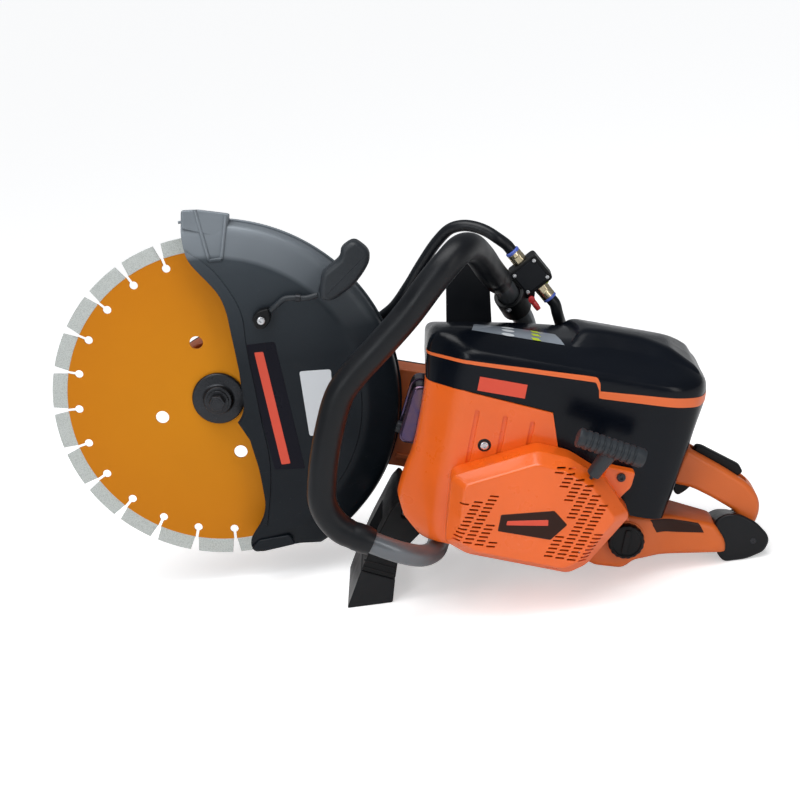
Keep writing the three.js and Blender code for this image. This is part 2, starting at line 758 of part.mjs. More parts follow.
const handlePoints = [
  [250, -60, -75], [247, -120, -75], [241, -150, -74], [228, -172, -72], [205, -187, -66],
  [172, -191, -58], [143, -190, -50], [124, -190, -30], [118, -190, 0], [117, -190, 50],
  [121, -190, 85], [131, -190, 107], [150, -190, 138], [171, -190, 174], [188, -190, 209],
  [199, -187, 228], [209, -175, 240], [220, -152, 239], [233, -122, 226], [248, -88, 206],
  [262, -58, 189], [275, -34, 173], [288, -19, 157], [300, -7, 141], [309, 8, 120],
  [315, 26, 97], [316.2, 36, 79], [316.3, 37.5, 61],
];
const HANDLE_STEPS = 44;
const handlePath = new THREE.CatmullRomCurve3(handlePoints.map((p) => vector(...p)), false, 'centripetal')
  .getSpacedPoints(HANDLE_STEPS)
  .map((p) => p.toArray());
const SLEEVE = [9, 35]; // the steps between which the rubber sleeve lies

part('front_handle', tube(handlePath, HANDLE_TUBE, HANDLE_STEPS), TUBE_GREY);
part(
  'handle_sleeve',
  tube(handlePath.slice(SLEEVE[0], SLEEVE[1] + 1), SLEEVE_OUTER, SLEEVE[1] - SLEEVE[0], 10, 12.5),
  RUBBER,
);
part(
  'splash_guard',
  join(
    sideSlab([[208, 192], [254, 188], [270, 122], [222, 119]], -9, -6),
    block([222, 269], [-8, 4], [119, 122]),
  ),
  BLACK_MATTE,
);

// -- water valve and hoses --------------------------------------------------

const VALVE = [295, -24, 194.5];
const VALVE_TURN = THREE.MathUtils.degToRad(40.8); // its length slopes down to the rear
const alongValve = (along, across = 0) => [
  VALVE[0] + along * Math.cos(VALVE_TURN) - across * Math.sin(VALVE_TURN),
  VALVE[1],
  VALVE[2] - along * Math.sin(VALVE_TURN) - across * Math.cos(VALVE_TURN),
];

function valveBody(grow = 0) {
  const [long, deep] = [16 + grow, 17 + grow];
  const corners = [[-long, -deep], [long, -deep], [long, deep], [-long, deep]].map(([a, b]) => {
    const [x, , z] = alongValve(a, b);
    return [x, z];
  });
  return sideSlab(rounded(corners, 3, 2), VALVE[1] - 12 - grow, VALVE[1] + 12 + grow);
}

part('valve_body', valveBody(), BLACK_MATTE);
part('hose_fitting_blade', rod(alongValve(-16.3), alongValve(-31), 7.5, 6), BRASS);
part('hose_fitting_supply', rod(alongValve(16.3), alongValve(34), 7.5, 6), BRASS);

const LEVER_PIVOT = alongValve(19, 14);
const LEVER_Y = VALVE[1] - 15.5;
part(
  'valve_lever',
  rod([LEVER_PIVOT[0], LEVER_Y, LEVER_PIVOT[2]], [LEVER_PIVOT[0] + 9, LEVER_Y, LEVER_PIVOT[2] - 9], 3, 8),
  RED,
);

function valveBracket() {
  const collar = rod([276.5, -34.5, 171.5], [289, -18, 155.5], 16, 14);
  const plate = sideSlab([[276, 160], [293, 156], [304, 184], [292, 203], [278, 190]], -11.6, -7);
  return cut(join(collar, plate), tube(handlePath.slice(34, 41), HANDLE_TUBE + 0.6, 6, 12), valveBody(0.4));
}

part('valve_bracket', valveBracket(), BLACK_MATTE);

const hoseRoute = [
  alongValve(-31.4), alongValve(-38), [255, -27, 225.5], [243, -24, 230], [231, -20, 231.5],
  [219, -16, 230], [207, -10, 223], [196.5, -3, 206], [186, 5, 179], [176.5, 14, 150], [166, 25, 123],
  [154, 34, 105],
  [146, 39.5, 88], [143, 41, 76], [142.8, 41, 70.6],
];
part('water_hose', tube(hoseRoute, HOSE_RADIUS, 26, 8), RUBBER);
part('arm_hose_fitting', upright([[0, 57.5], [9, 57.5], [9, 63], [7, 63], [7, 70], [0, 70]], 8), BRASS, [142.8, 41, 0]);

const supplyRoute = [
  alongValve(34.4), alongValve(41), [331, -23, 157.5], [337, -15, 146], [343, -6, 134.5], [350, 4, 122],
  [359, 13, 110], [375, 19, 99], [395, 21, 88], [416, 20, 76], [437, 18, 62], [452, 17, 50],
  [460, 17, 42],
];
part('supply_hose', tube(supplyRoute, HOSE_RADIUS, 20, 8), RUBBER);
part('hose_connector', rod([460.4, 17, 41.6], [484, 17, 18.5], 9, 10), BRASS);

// -- front foot -------------------------------------------------------------

const FOOT_LEFT = -118;
const FOOT_RIGHT = -8;
const PAD_TOP = [[175, -120], [211, -124]];
part(
  'stand_foot',
  cut(
    sideSlab(
      [
        [175, -119.7], [181, -94], [194, -50], [200, -40], [205.4, -44], [205.6, -56.4], [286, -56.4],
        [286, -61], [233, -61], [210, -97], [211, -123.7],
      ],
      FOOT_LEFT,
      FOOT_RIGHT,
    ),
    block([150, 230], [FOOT_LEFT + 26, FOOT_RIGHT - 26], [-112, -70]),
  ),
  BLACK_MATTE,
);
part(
  'foot_pad',
  sideSlab([...PAD_TOP, [213, floorAt(213)], [168, floorAt(168)]], FOOT_LEFT, FOOT_RIGHT),
  RUBBER,
);
part(
  'foot_screw',
  turned([[0, FOOT_LEFT - GAP], [5, FOOT_LEFT - GAP], [5, FOOT_LEFT - 3], [0, FOOT_LEFT - 3.6]], 12),
  STEEL,
  [190, 0, -108],
);

// -- the machine on the floor -----------------------------------------------

const standing = new THREE.Group();
machine.rotation.y = STAND_PITCH;
standing.add(machine);
standing.updateMatrixWorld(true);
const box = new THREE.Box3().setFromObject(standing, true);
standing.position.set(-(box.min.x + box.max.x) / 2, -(box.min.y + box.max.y) / 2, -box.min.z);

const saw = new THREE.Group();
saw.add(standing);

export default saw;
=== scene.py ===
"""A petrol-driven concrete cut-off saw with a 350 mm diamond blade, standing on a pale studio floor.

Shapes are drawn in the machine's own frame, in millimetres: the blade spindle is the origin, +X runs
to the rear handle, +Y to the belt side and +Z is square to the top cover. TO_ROW stands the machine
on the floor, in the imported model's frame, in metres.
"""
import json
import math
from contextlib import contextmanager

import bmesh
import bpy
import numpy as np
from mathutils import Matrix, Vector


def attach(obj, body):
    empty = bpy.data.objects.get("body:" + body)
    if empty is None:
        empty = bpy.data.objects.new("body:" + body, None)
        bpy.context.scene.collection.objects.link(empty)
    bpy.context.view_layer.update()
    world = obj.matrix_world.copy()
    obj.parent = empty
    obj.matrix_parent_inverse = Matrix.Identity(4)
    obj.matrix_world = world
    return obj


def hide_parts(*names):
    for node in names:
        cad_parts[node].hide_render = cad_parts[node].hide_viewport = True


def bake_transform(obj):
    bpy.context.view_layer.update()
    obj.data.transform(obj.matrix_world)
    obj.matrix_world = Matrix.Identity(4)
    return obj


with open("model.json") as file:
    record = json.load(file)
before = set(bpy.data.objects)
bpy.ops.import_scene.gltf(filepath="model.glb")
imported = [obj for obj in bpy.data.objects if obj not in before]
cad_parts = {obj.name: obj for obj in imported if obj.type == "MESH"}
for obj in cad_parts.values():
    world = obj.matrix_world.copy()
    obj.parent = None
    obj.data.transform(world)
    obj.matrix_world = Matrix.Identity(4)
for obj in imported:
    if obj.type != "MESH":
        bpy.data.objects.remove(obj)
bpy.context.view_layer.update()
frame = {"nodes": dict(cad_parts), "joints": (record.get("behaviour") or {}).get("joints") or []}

# -- the machine's frame --

joint_at = {joint["name"]: Vector(joint["pos_m"]) for joint in frame["joints"] if "pos_m" in joint}
SPINDLE = joint_at["blade_spin"]
AXLE_LINE = joint_at["drum_spin"] - SPINDLE
CRANK_X = AXLE_LINE.length * 1000
STAND_PITCH = math.atan2(-AXLE_LINE.z, AXLE_LINE.x)
STANDING = Matrix.Translation(SPINDLE) @ Matrix.Rotation(STAND_PITCH, 4, "Y")
TO_ROW = STANDING @ Matrix.Scale(0.001, 4)

BLADE_RADIUS = 175
CORE_RADIUS = 160
SEGMENT_COUNT = 24
KEYHOLE_CIRCLE = 148.4
KEYHOLE_RADIUS = 4.4
GUARD_RADIUS = 191
HOSE_DIAMETER = 12
CYLINDER_Y = -39


def floor_at(x):
    """Height of the floor, in the machine's frame, under a point x behind the spindle."""
    return x * math.tan(STAND_PITCH) - 218.5


# -- camera, light and floor --

PHOTO_PITCH = math.radians(10)  # how far the machine leans back in the picture
CAMERA_ELEVATION = math.radians(17.42)
CAMERA_DISTANCE = 2.112
CAMERA_TARGET = Vector((0.1912, 0, -0.003))


def placed(name, data):
    """An object with this data, in the scene."""
    obj = bpy.data.objects.new(name, data)
    bpy.context.scene.collection.objects.link(obj)
    return obj


def make_camera():
    picture = Matrix.Translation(SPINDLE) @ Matrix.Rotation(STAND_PITCH - PHOTO_PITCH, 4, "Y")
    tilt = Matrix.Rotation(math.pi / 2 - CAMERA_ELEVATION, 4, "X")
    back = Matrix.Translation((0, 0, CAMERA_DISTANCE))
    data = bpy.data.cameras.new("camera")
    data.lens = 90
    data.sensor_width = 36
    data.clip_start = 0.05
    data.clip_end = 50
    camera = placed("camera", data)
    camera.matrix_world = picture @ Matrix.Translation(CAMERA_TARGET) @ tilt @ back
    bpy.context.scene.camera = camera


def area_light(name, location, target, size, power, colour=(1, 1, 1)):
    data = bpy.data.lights.new(name, "AREA")
    data.shape = "RECTANGLE"
    data.size, data.size_y = size
    data.energy = power
    data.color = colour
    light = placed(name, data)
    light.location = location
    light.rotation_euler = (Vector(target) - Vector(location)).to_track_quat("-Z", "Y").to_euler()


def make_lights():
    world = bpy.data.worlds.new("studio")
    bpy.context.scene.world = world
    world.use_nodes = True
    tree = NodeTree(world.node_tree)
    lit = tree.nodes["Background"]
    tree.put(lit.inputs["Color"], (0.93, 0.96, 1))
    tree.put(lit.inputs["Strength"], 0.24)
    seen = tree.node("Background", {"Color": (1, 1, 1), "Strength": 0.95})
    to_camera = tree.node("LightPath").outputs["Is Camera Ray"]
    mix = tree.node("MixShader", {0: to_camera, 1: lit.outputs[0], 2: seen.outputs[0]})
    tree.put(tree.nodes["World Output"].inputs["Surface"], mix.outputs[0])
    sun_data = bpy.data.lights.new("sky_light", "SUN")
    sun_data.energy = 1.15
    sun_data.angle = math.radians(50)
    placed("sky_light", sun_data).rotation_euler = (math.radians(24), math.radians(-10), 0)
    area_light("overhead", (-0.1, -0.2, 1.5), (0, 0, 0.2), (1.6, 0.7), 9)
    area_light("front_left", (-0.9, -1.5, 0.9), (0.05, 0, 0.2), (0.5, 1.0), 6, (0.95, 0.98, 1))
    area_light("front_right", (1.2, -1.4, 0.7), (0.1, 0, 0.2), (0.5, 0.9), 4, (1, 0.97, 0.94))


def make_floor():
    """A wide pale floor. It shines a little to the camera, so that it stays white behind the saw."""
    reach = 60.0
    verts = [(x, y, 0) for x, y in ((-reach, -reach), (reach, -reach), (reach, reach), (-reach, reach))]
    mesh = bpy.data.meshes.new("floor")
    mesh.from_pydata(verts, [], [(0, 1, 2, 3)])
    paint = Shader("studio_floor", 0.9)
    paint.set("Base Color", (0.93, 0.93, 0.93))
    paint.set("Emission Color", (1, 1, 1))
    to_camera = paint.node("LightPath").outputs["Is Camera Ray"]
    paint.set("Emission Strength", paint.spread(to_camera, 0.0, 0.45, 0, 1))
    mesh.materials.append(paint.material)
    placed("floor", mesh)


# -- materials --


class NodeTree:
    """A node tree, where a socket is given either a value or the output of another node."""

    def __init__(self, tree):
        self.nodes = tree.nodes
        self.links = tree.links

    def put(self, socket, value):
        if isinstance(value, bpy.types.NodeSocket):
            self.links.new(value, socket)
        elif socket.type == "RGBA":
            socket.default_value = (*value, 1)
        else:
            socket.default_value = value

    def node(self, kind, inputs=()):
        node = self.nodes.new("ShaderNode" + kind)
        for name, value in dict(inputs).items():
            self.put(node.inputs[name], value)
        return node

    def worked(self, kind, operation, *operands):
        """The outputs of a Math or VectorMath node."""
        node = self.node(kind, enumerate(operands))
        node.operation = operation
        return node.outputs


class Shader(NodeTree):
    """A node material built round one Principled shader, in object coordinates."""

    def __init__(self, name, roughness, metallic=0.0, coat=0.0, coat_roughness=0.1, specular=0.5):
        self.material = bpy.data.materials.new(name)
        self.material.use_nodes = True
        super().__init__(self.material.node_tree)
        self.set("Roughness", roughness)
        self.set("Metallic", metallic)
        self.set("Coat Weight", coat)
        self.set("Coat Roughness", coat_roughness)
        self.set("Specular IOR Level", specular)
        self.place = self.node("TexCoord").outputs["Object"]
        self.bumped = None

    def set(self, socket, value):
        self.put(self.nodes["Principled BSDF"].inputs[socket], value)

    def stretched(self, stretch):
        if stretch is None:
            return self.place
        return self.node("Mapping", {"Vector": self.place, "Scale": stretch}).outputs["Vector"]

    def noise(self, scale, detail=2.0, stretch=None, distortion=0.0):
        node = self.node("TexNoise", {"Scale": scale, "Detail": detail, "Distortion": distortion})
        self.put(node.inputs["Vector"], self.stretched(stretch))
        return node.outputs["Fac"]

    def cells(self, scale, stretch=None):
        inputs = {"Vector": self.stretched(stretch), "Scale": scale}
        return self.node("TexVoronoi", inputs).outputs["Distance"]

    def from_spindle(self):
        """Distance from the spindle, in the blade's plane."""
        away = self.worked("VectorMath", "SUBTRACT", self.place, SPINDLE)[0]
        flat = self.worked("VectorMath", "MULTIPLY", away, (1, 0, 1))[0]
        return self.worked("VectorMath", "LENGTH", flat)["Value"]

    def ramp(self, source, stops):
        node = self.node("ValToRGB", {"Fac": source})
        elements = node.color_ramp.elements
        while len(elements) < len(stops):
            elements.new(0.5)
        for element, (at, colour) in zip(elements, stops):
            element.position = at
            element.color = (*colour, 1)
        return node.outputs["Color"]

    def cloudy(self, source, colour, variation):
        """The colour, made a little darker and lighter."""
        return self.ramp(source, [(0.3, toned(colour, 1 - variation)), (0.7, toned(colour, 1 + variation))])

    def spread(self, source, low, high, start=0.3, end=0.7):
        inputs = {"Value": source, "From Min": start, "From Max": end, "To Min": low, "To Max": high}
        return self.node("MapRange", inputs).outputs["Result"]

    def mixed(self, factor, first, second):
        node = self.node("Mix")
        node.data_type = "RGBA"
        for socket, value in (("Factor", factor), (6, first), (7, second)):
            self.put(node.inputs[socket], value)
        return node.outputs[2]

    def bump(self, source, strength, distance=0.0002):
        node = self.node("Bump", {"Height": source, "Strength": strength, "Distance": distance})
        if self.bumped:
            self.put(node.inputs["Normal"], self.bumped)
        self.bumped = node.outputs["Normal"]
        self.set("Normal", self.bumped)


def toned(colour, amount):
    return tuple(min(1.0, c * amount) for c in colour)


def plastic(name, colour, roughness, grain=0.25, grain_scale=1600, variation=0.12, coat=0.0, metallic=0.0,
            specular=0.5):
    """Moulded plastic, rubber or paint: cloudy tone, uneven gloss, and a fine grain in the surface."""
    shader = Shader(name, roughness, metallic, coat, 0.08, specular)
    shader.set("Base Color", shader.cloudy(shader.noise(14, 4), colour, variation))
    shader.set("Roughness", shader.spread(shader.noise(45, 5), roughness * 0.85, min(1, roughness * 1.2)))
    shader.bump(shader.noise(grain_scale, 2), grain)
    return shader.material


def metal(name, colour, roughness, variation=0.08, grain=0.15, metallic=1.0):
    """Bare metal, slightly uneven in tone and gloss."""
    shader = Shader(name, roughness, metallic)
    shader.set("Base Color", shader.cloudy(shader.noise(25, 5), colour, variation))
    lines = shader.noise(400, 4)
    shader.set("Roughness", shader.spread(lines, roughness * 0.75, min(1, roughness * 1.35)))
    shader.bump(lines, grain, 0.0001)
    return shader.material


def blade_paint():
    """Satin lacquer on the core: a little darker towards the rim, with fine turning lines."""
    shader = Shader("blade_paint", 0.42, 0.1, 0.0, 0.25, 0.15)
    radius = shader.from_spindle()
    near, far = (0.72, 0.262, 0.006), (0.62, 0.205, 0.005)
    tone = shader.ramp(shader.spread(radius, 0, 1, 0.03, 0.165), [(0.0, near), (1.0, far)])
    cloud = shader.spread(shader.noise(9, 4), 0.0, 0.16)
    shader.set("Base Color", shader.mixed(cloud, tone, (0.48, 0.17, 0.008)))
    turning = shader.worked("Math", "SINE", shader.worked("Math", "MULTIPLY", radius, 9000)[0])[0]
    shader.bump(turning, 0.05, 0.00005)
    shader.bump(shader.noise(900, 3), 0.12, 0.0001)
    shader.set("Roughness", shader.spread(shader.noise(60, 5), 0.3, 0.48))
    return shader.material


def sintered():
    """Diamond segments: pale grey, coarse and dry, with darker grit."""
    shader = Shader("diamond_segment", 0.75, 0.15)
    grit = shader.cells(900)
    pale, dark = (0.60, 0.63, 0.61), (0.36, 0.39, 0.37)
    shader.set("Base Color", shader.mixed(shader.spread(grit, 0.0, 0.55, 0.35, 0.75), pale, dark))
    shader.bump(grit, 0.5, 0.0003)
    shader.bump(shader.noise(500, 5), 0.3, 0.0002)
    return shader.material


def guard_paint():
    """Satin dark slate paint, lightly orange-peeled, with faint scuffs; with painted light: near black at the
    bottom and paler towards its top, as if lit from above, and a painted highlight on the upper part of its
    sloping shoulder.
    """
    shader = Shader("guard_paint", 0.36, 0.2, 0.05, 0.2, 0.22)
    # painted shade and painted highlight: the colour runs from near black at the bottom to pale slate at the
    # top, the way the overhead light falls
    height = shader.node("SeparateXYZ", {0: shader.place}).outputs["Z"]
    stops = [
        (0.0, (0.006, 0.009, 0.013)), (0.45, (0.011, 0.015, 0.020)), (0.8, (0.040, 0.050, 0.060)),
        (1.0, (0.085, 0.100, 0.115)),
    ]
    tone = shader.ramp(shader.spread(height, 0, 1, 0.12, 0.40), stops)
    # painted highlight: a pale band on the sloping shoulder, only on its upper part
    past_face = shader.spread(shader.from_spindle(), 0, 1, 0.156, 0.161)
    shoulder = shader.worked("Math", "MULTIPLY", past_face, shader.spread(height, 0, 1, 0.27, 0.39))[0]
    tone = shader.mixed(shoulder, tone, (0.20, 0.225, 0.25))
    marks = shader.spread(shader.noise(90, 8, (1, 1, 4), 1.5), 0, 0.2, 0.66, 0.8)
    shader.set("Base Color", shader.mixed(marks, tone, (0.09, 0.10, 0.11)))
    shader.set("Roughness", shader.spread(shader.noise(35, 5), 0.3, 0.45))
    shader.bump(shader.noise(420, 2), 0.12, 0.00015)
    return shader.material


def heat_tinted():
    """Muffler sheet: bright steel, blued and browned by heat."""
    shader = Shader("heat_tinted", 0.22, 1.0)
    stops = [
        (0.25, (0.16, 0.13, 0.12)), (0.45, (0.13, 0.08, 0.11)), (0.6, (0.08, 0.06, 0.13)),
        (0.8, (0.22, 0.18, 0.15)),
    ]
    shader.set("Base Color", shader.ramp(shader.noise(28, 4, None, 1.5), stops))
    shader.bump(shader.noise(300, 3), 0.1, 0.0001)
    return shader.material


def woven_rope():
    shader = Shader("rope", 0.85)
    strands = shader.cells(700, (1, 1, 0.5))
    shader.set("Base Color", shader.ramp(strands, [(0.1, (0.09, 0.09, 0.095)), (0.7, (0.02, 0.02, 0.022))]))
    shader.bump(strands, 0.7, 0.0004)
    return shader.material


def foam():
    shader = Shader("filter_foam", 0.95)
    holes = shader.cells(650)
    shader.set("Base Color", shader.ramp(holes, [(0.1, (0.02, 0.02, 0.02)), (0.6, (0.10, 0.10, 0.105))]))
    shader.bump(holes, 0.9, 0.0006)
    return shader.material


def make_materials():
    return {
        "blade": blade_paint(),
        "segment": sintered(),
        "guard": guard_paint(),
        "orange": plastic("orange_gloss", (0.88, 0.135, 0.008), 0.3, 0.1, 900, 0.05, 0.35),
        "orange_matte": plastic("orange_matte", (0.70, 0.135, 0.016), 0.42, 0.3, 1500, 0.07, 0.08),
        # cast orange with a coarse grain; its darker brown-orange tone is painted shade, the orange as the
        # arm looks in shade
        "orange_casting": plastic("orange_casting", (0.50, 0.11, 0.025), 0.45, 0.5, 500, 0.12, 0.1),
        "stripe": plastic("stripe", (0.84, 0.16, 0.035), 0.35, 0.1, 900, 0.04),
        "cover": plastic("cover_gloss", (0.0025, 0.0040, 0.0075), 0.22, 0.1, 900, 0.15, 0.03, specular=0.2),
        "black": plastic("black_plastic", (0.004, 0.0045, 0.0055), 0.45, 0.5, 1500, 0.2, specular=0.25),
        "grip": plastic("grip_plastic", (0.022, 0.027, 0.033), 0.42, 0.4, 1300, 0.15, specular=0.4),
        "rubber": plastic("black_rubber", (0.0045, 0.0055, 0.0075), 0.36, 0.3, 1200, 0.2, specular=0.3),
        "hose": plastic("hose_rubber", (0.006, 0.0075, 0.010), 0.33, 0.2, 900, 0.15, specular=0.35),
        "tube": plastic("grey_tube", (0.15, 0.165, 0.18), 0.33, 0.2, 700, 0.1, 0.1, 0.5),
        "steel": metal("steel", (0.62, 0.63, 0.65), 0.28),
        "dark_steel": metal("dark_steel", (0.035, 0.037, 0.042), 0.32, 0.15, 0.2, 0.7),
        "aluminium": metal("cast_aluminium", (0.55, 0.56, 0.57), 0.5, 0.1, 0.6),
        "brass": metal("brass", (0.72, 0.62, 0.42), 0.24),
        "muffler": heat_tinted(),
        "rope": woven_rope(),
        "foam": foam(),
        "red": plastic("red_plastic", (0.50, 0.025, 0.03), 0.3, 0.1, 900, 0.1, 0.3),
        "blue": plastic("blue_ring", (0.10, 0.16, 0.62), 0.35, 0.1, 900, 0.1, 0.2),
        "label": plastic("blank_label", (0.64, 0.67, 0.70), 0.35, 0.05, 900, 0.03),
        "dark_label": plastic("dark_label", (0.004, 0.004, 0.010), 0.3, 0.05, 900, 0.1, 0.0, specular=0.15),
        "brown_label": plastic("brown_label", (0.030, 0.010, 0.006), 0.35, 0.05, 900, 0.1, 0.0, specular=0.2),
        "badge": plastic("blank_badge", (0.74, 0.075, 0.035), 0.4, 0.1, 900, 0.04),
        "panel": plastic("grey_panel", (0.22, 0.25, 0.29), 0.22, 0.05, 900, 0.25, 0.4),
        "dot": plastic("green_dot", (0.5, 0.62, 0.02), 0.4, 0.1, 900, 0.1),
        # painted shade: a near-black dull finish for sheets and discs that stand in for shade in hollows
        "painted_shade": plastic("painted_shade_inside", (0.006, 0.005, 0.005), 0.8, 0.2, 900, 0.2),
    }


# -- outlines and lines --


def arc(centre, radius, start, end, steps):
    """Points on a circle with both ends, angles in degrees."""
    angles = [math.radians(start + (end - start) * i / steps) for i in range(steps + 1)]
    return [(centre[0] + radius * math.cos(a), centre[1] + radius * math.sin(a)) for a in angles]


def circle(centre, radius, steps=48):
    return arc(centre, radius, 0, 360 - 360 / steps, steps - 1)


def soften(outline, radius, steps=5, closed=True):
    """An outline with its corners rounded, each cut back by up to radius along its sides."""
    points = [Vector(p) for p in outline]
    count = len(points)
    result = []
    for i, here in enumerate(points):
        if not closed and i in (0, count - 1):
            result.append(tuple(here))
            continue
        before, after = points[i - 1], points[(i + 1) % count]
        back = min(radius, (before - here).length / 2.1)
        on = min(radius, (after - here).length / 2.1)
        start = here + (before - here).normalized() * back
        end = here + (after - here).normalized() * on
        for k in range(steps + 1):
            t = k / steps
            result.append(tuple(start * (1 - t) ** 2 + here * (2 * t * (1 - t)) + end * t * t))
    return result


def inset(outline, wall):
    """An outline moved inwards by wall. A point with no room goes to the nearest one that has it."""
    points = [Vector(p) for p in outline]
    count = len(points)
    area = sum(a.x * b.y - b.x * a.y for a, b in zip(points, points[1:] + points[:1]))
    side = 1 if area > 0 else -1
    moved_in = []
    for i, here in enumerate(points):
        before, after = points[i - 1], points[(i + 1) % count]
        first = (here - before).normalized().orthogonal() * side
        second = (after - here).normalized().orthogonal() * side
        reach = wall / max(0.3, 1 + first.dot(second))
        moved_in.append(tuple(here + (first + second) * reach))
    if wall <= 0:
        return moved_in
    depths = -outline_distance(np.array(moved_in, float), outline)
    kept = [i for i, depth in enumerate(depths) if depth > wall * 0.97 - 0.01]
    if not kept:
        return moved_in

    def nearest(i):
        return min(kept, key=lambda k: min(abs(k - i), count - abs(k - i)))

    return [moved_in[nearest(i)] for i in range(count)]


def spline(points, count):
    """A centripetal Catmull-Rom curve through the points, as count+1 evenly spaced points."""
    given = [Vector(p) for p in points]
    given = [given[0] * 2 - given[1]] + given + [given[-1] * 2 - given[-2]]
    dense = []
    for a, b, c, d in zip(given, given[1:], given[2:], given[3:]):
        knots = [0.0]
        for p, q in ((a, b), (b, c), (c, d)):
            knots.append(knots[-1] + max(1e-4, (q - p).length ** 0.5))
        for k in range(24):
            t = knots[1] + (knots[2] - knots[1]) * k / 24
            dense.append(barry_goldman((a, b, c, d), knots, t))
    dense.append(given[-2])
    travelled = [0.0]
    for p, q in zip(dense, dense[1:]):
        travelled.append(travelled[-1] + (q - p).length)
    result = []
    at = 0
    for i in range(count + 1):
        wanted = travelled[-1] * i / count
        while at < len(dense) - 2 and travelled[at + 1] < wanted:
            at += 1
        step = travelled[at + 1] - travelled[at]
        result.append(dense[at].lerp(dense[at + 1], (wanted - travelled[at]) / step if step else 0))
    return result


def barry_goldman(points, knots, t):
    """The point at t of a curve through the middle two of four points."""
    for spans in (((0, 1), (1, 2), (2, 3)), ((0, 2), (1, 3)), ((1, 2),)):
        shares = [(t - knots[i]) / (knots[j] - knots[i]) for i, j in spans]
        points = [a.lerp(b, share) for a, b, share in zip(points, points[1:], shares)]
    return points[0]


# -- shapes: lists of corners and faces, in the machine's frame --


def rings_to_shape(rings, closed_along=False, capped=True):
    count = len(rings[0])
    verts = [tuple(p) for ring in rings for p in ring]
    faces = []
    last = len(rings) if closed_along else len(rings) - 1
    for i in range(last):
        here, there = i * count, ((i + 1) % len(rings)) * count
        for j in range(count):
            k = (j + 1) % count
            faces.append((here + j, here + k, there + k, there + j))
    if capped and not closed_along:
        faces.append(tuple(range(count)))
        faces.append(tuple(range((len(rings) - 1) * count, len(rings) * count)))
    return verts, faces


def grid_faces(rows, columns):
    """The faces between the corners of a grid, which are listed row by row."""
    wide = columns + 1
    corners = [row * wide + column for row in range(rows) for column in range(columns)]
    return [(corner, corner + 1, corner + wide + 1, corner + wide) for corner in corners]


def stacked(outline, profile):
    """A solid of a side outline (x, z), narrowed by the inset at each Y of the profile."""
    rings = [[(x, y, z) for x, z in inset(outline, narrowing)] for narrowing, y in profile]
    return rings_to_shape(rings)


def tapered(outline, centre, profile):
    """A solid of a side outline, drawn in towards its centre by some part at each Y of the profile."""
    cx, cz = centre
    rings = []
    for part, y in profile:
        kept = 1 - part
        rings.append([(cx + (x - cx) * kept, y, cz + (z - cz) * kept) for x, z in outline])
    return rings_to_shape(rings)


def slab(outline, left, right, rounding=1.5, steps=3):
    """A side outline between Y=left and Y=right with both rims rounded."""
    angles = [math.pi / 2 * k / steps for k in range(steps + 1)]
    near = [(rounding * (1 - math.sin(a)), left + rounding * (1 - math.cos(a))) for a in angles]
    far = [(rounding * (1 - math.cos(a)), right - rounding * (1 - math.sin(a))) for a in angles]
    return stacked(outline, near + far)


def soft_slab(outline, corner, corner_steps, left, right, rounding=1.5, steps=3):
    """A slab whose outline has its corners rounded too."""
    return slab(soften(outline, corner, corner_steps), left, right, rounding, steps)


def basis(axis):
    """A turning frame whose Z is the axis."""
    z = Vector(axis).normalized()
    x = z.orthogonal().normalized()
    if abs(z.y) > 0.999:
        x = Vector((1, 0, 0))
    return x, z.cross(x), z


def lathe(profile, base=(0, 0, 0), axis=(0, 1, 0), steps=72, closed=False, shape=None):
    """A profile of (radius, along) pairs turned about an axis. shape(angle, radius) may vary the radius."""
    x, y, z = basis(axis)
    origin = Vector(base)
    rings = []
    for radius, along in profile:
        ring = []
        for k in range(steps):
            angle = 2 * math.pi * k / steps
            reach = shape(angle, radius) if shape else radius
            ring.append(origin + (x * math.cos(angle) + y * math.sin(angle)) * reach + z * along)
        rings.append(ring)
    return rings_to_shape(rings, closed_along=closed)


def turned(profile, rounding, corner_steps, base=(0, 0, 0), axis=(0, 1, 0), shape=None):
    """A solid of revolution whose profile starts and ends on the axis, with its corners rounded."""
    return lathe(soften(profile, rounding, corner_steps, closed=False), base, axis, shape=shape)


def turned_ring(section, rounding, corner_steps, base=(0, 0, 0), axis=(0, 1, 0), steps=72):
    """A ring, from a section whose corners are rounded."""
    return lathe(soften(section, rounding, corner_steps), base, axis, steps, closed=True)


def sweep(path, radius, sides=24):
    """A round bar along a path; radius is one number, or one for each point."""
    points = [Vector(p) for p in path]
    radii = radius if isinstance(radius, list) else [radius] * len(points)
    tangents = [(b - a).normalized() for a, b in zip(points, points[1:])]
    tangents = [tangents[0]] + [(a + b).normalized() for a, b in zip(tangents, tangents[1:])] + [tangents[-1]]
    normal = tangents[0].orthogonal().normalized()
    rings = []
    for here, tangent, reach in zip(points, tangents, radii):
        normal = (normal - tangent * normal.dot(tangent)).normalized()
        other = tangent.cross(normal)
        rings.append([
            here + (normal * math.cos(a) + other * math.sin(a)) * reach
            for a in (2 * math.pi * k / sides for k in range(sides))
        ])
    return rings_to_shape(rings)


def rod(start, end, radius, sides=32, rounding=0.6):
    """A straight round bar with rounded rims."""
    length = (Vector(end) - Vector(start)).length
    profile = soften([(0, 0), (radius, 0), (radius, length), (0, length)], rounding, 3, closed=False)
    return lathe(profile, start, Vector(end) - Vector(start), sides)


def rounded_box(low, high, rounding=2.0, steps=3):
    outline = [(low[0], low[2]), (high[0], low[2]), (high[0], high[2]), (low[0], high[2])]
    return soft_slab(outline, rounding, 4, low[1], high[1], min(rounding, (high[1] - low[1]) / 2.2), steps)


def joined(*shapes):
    verts, faces = [], []
    for more_verts, more_faces in shapes:
        start = len(verts)
        verts.extend(more_verts)
        faces.extend(tuple(start + i for i in face) for face in more_faces)
    return verts, faces


def from_flat(angle):
    """The angle from the middle of the nearest side of a hexagon."""
    return (angle + math.pi / 6) % (math.pi / 3) - math.pi / 6


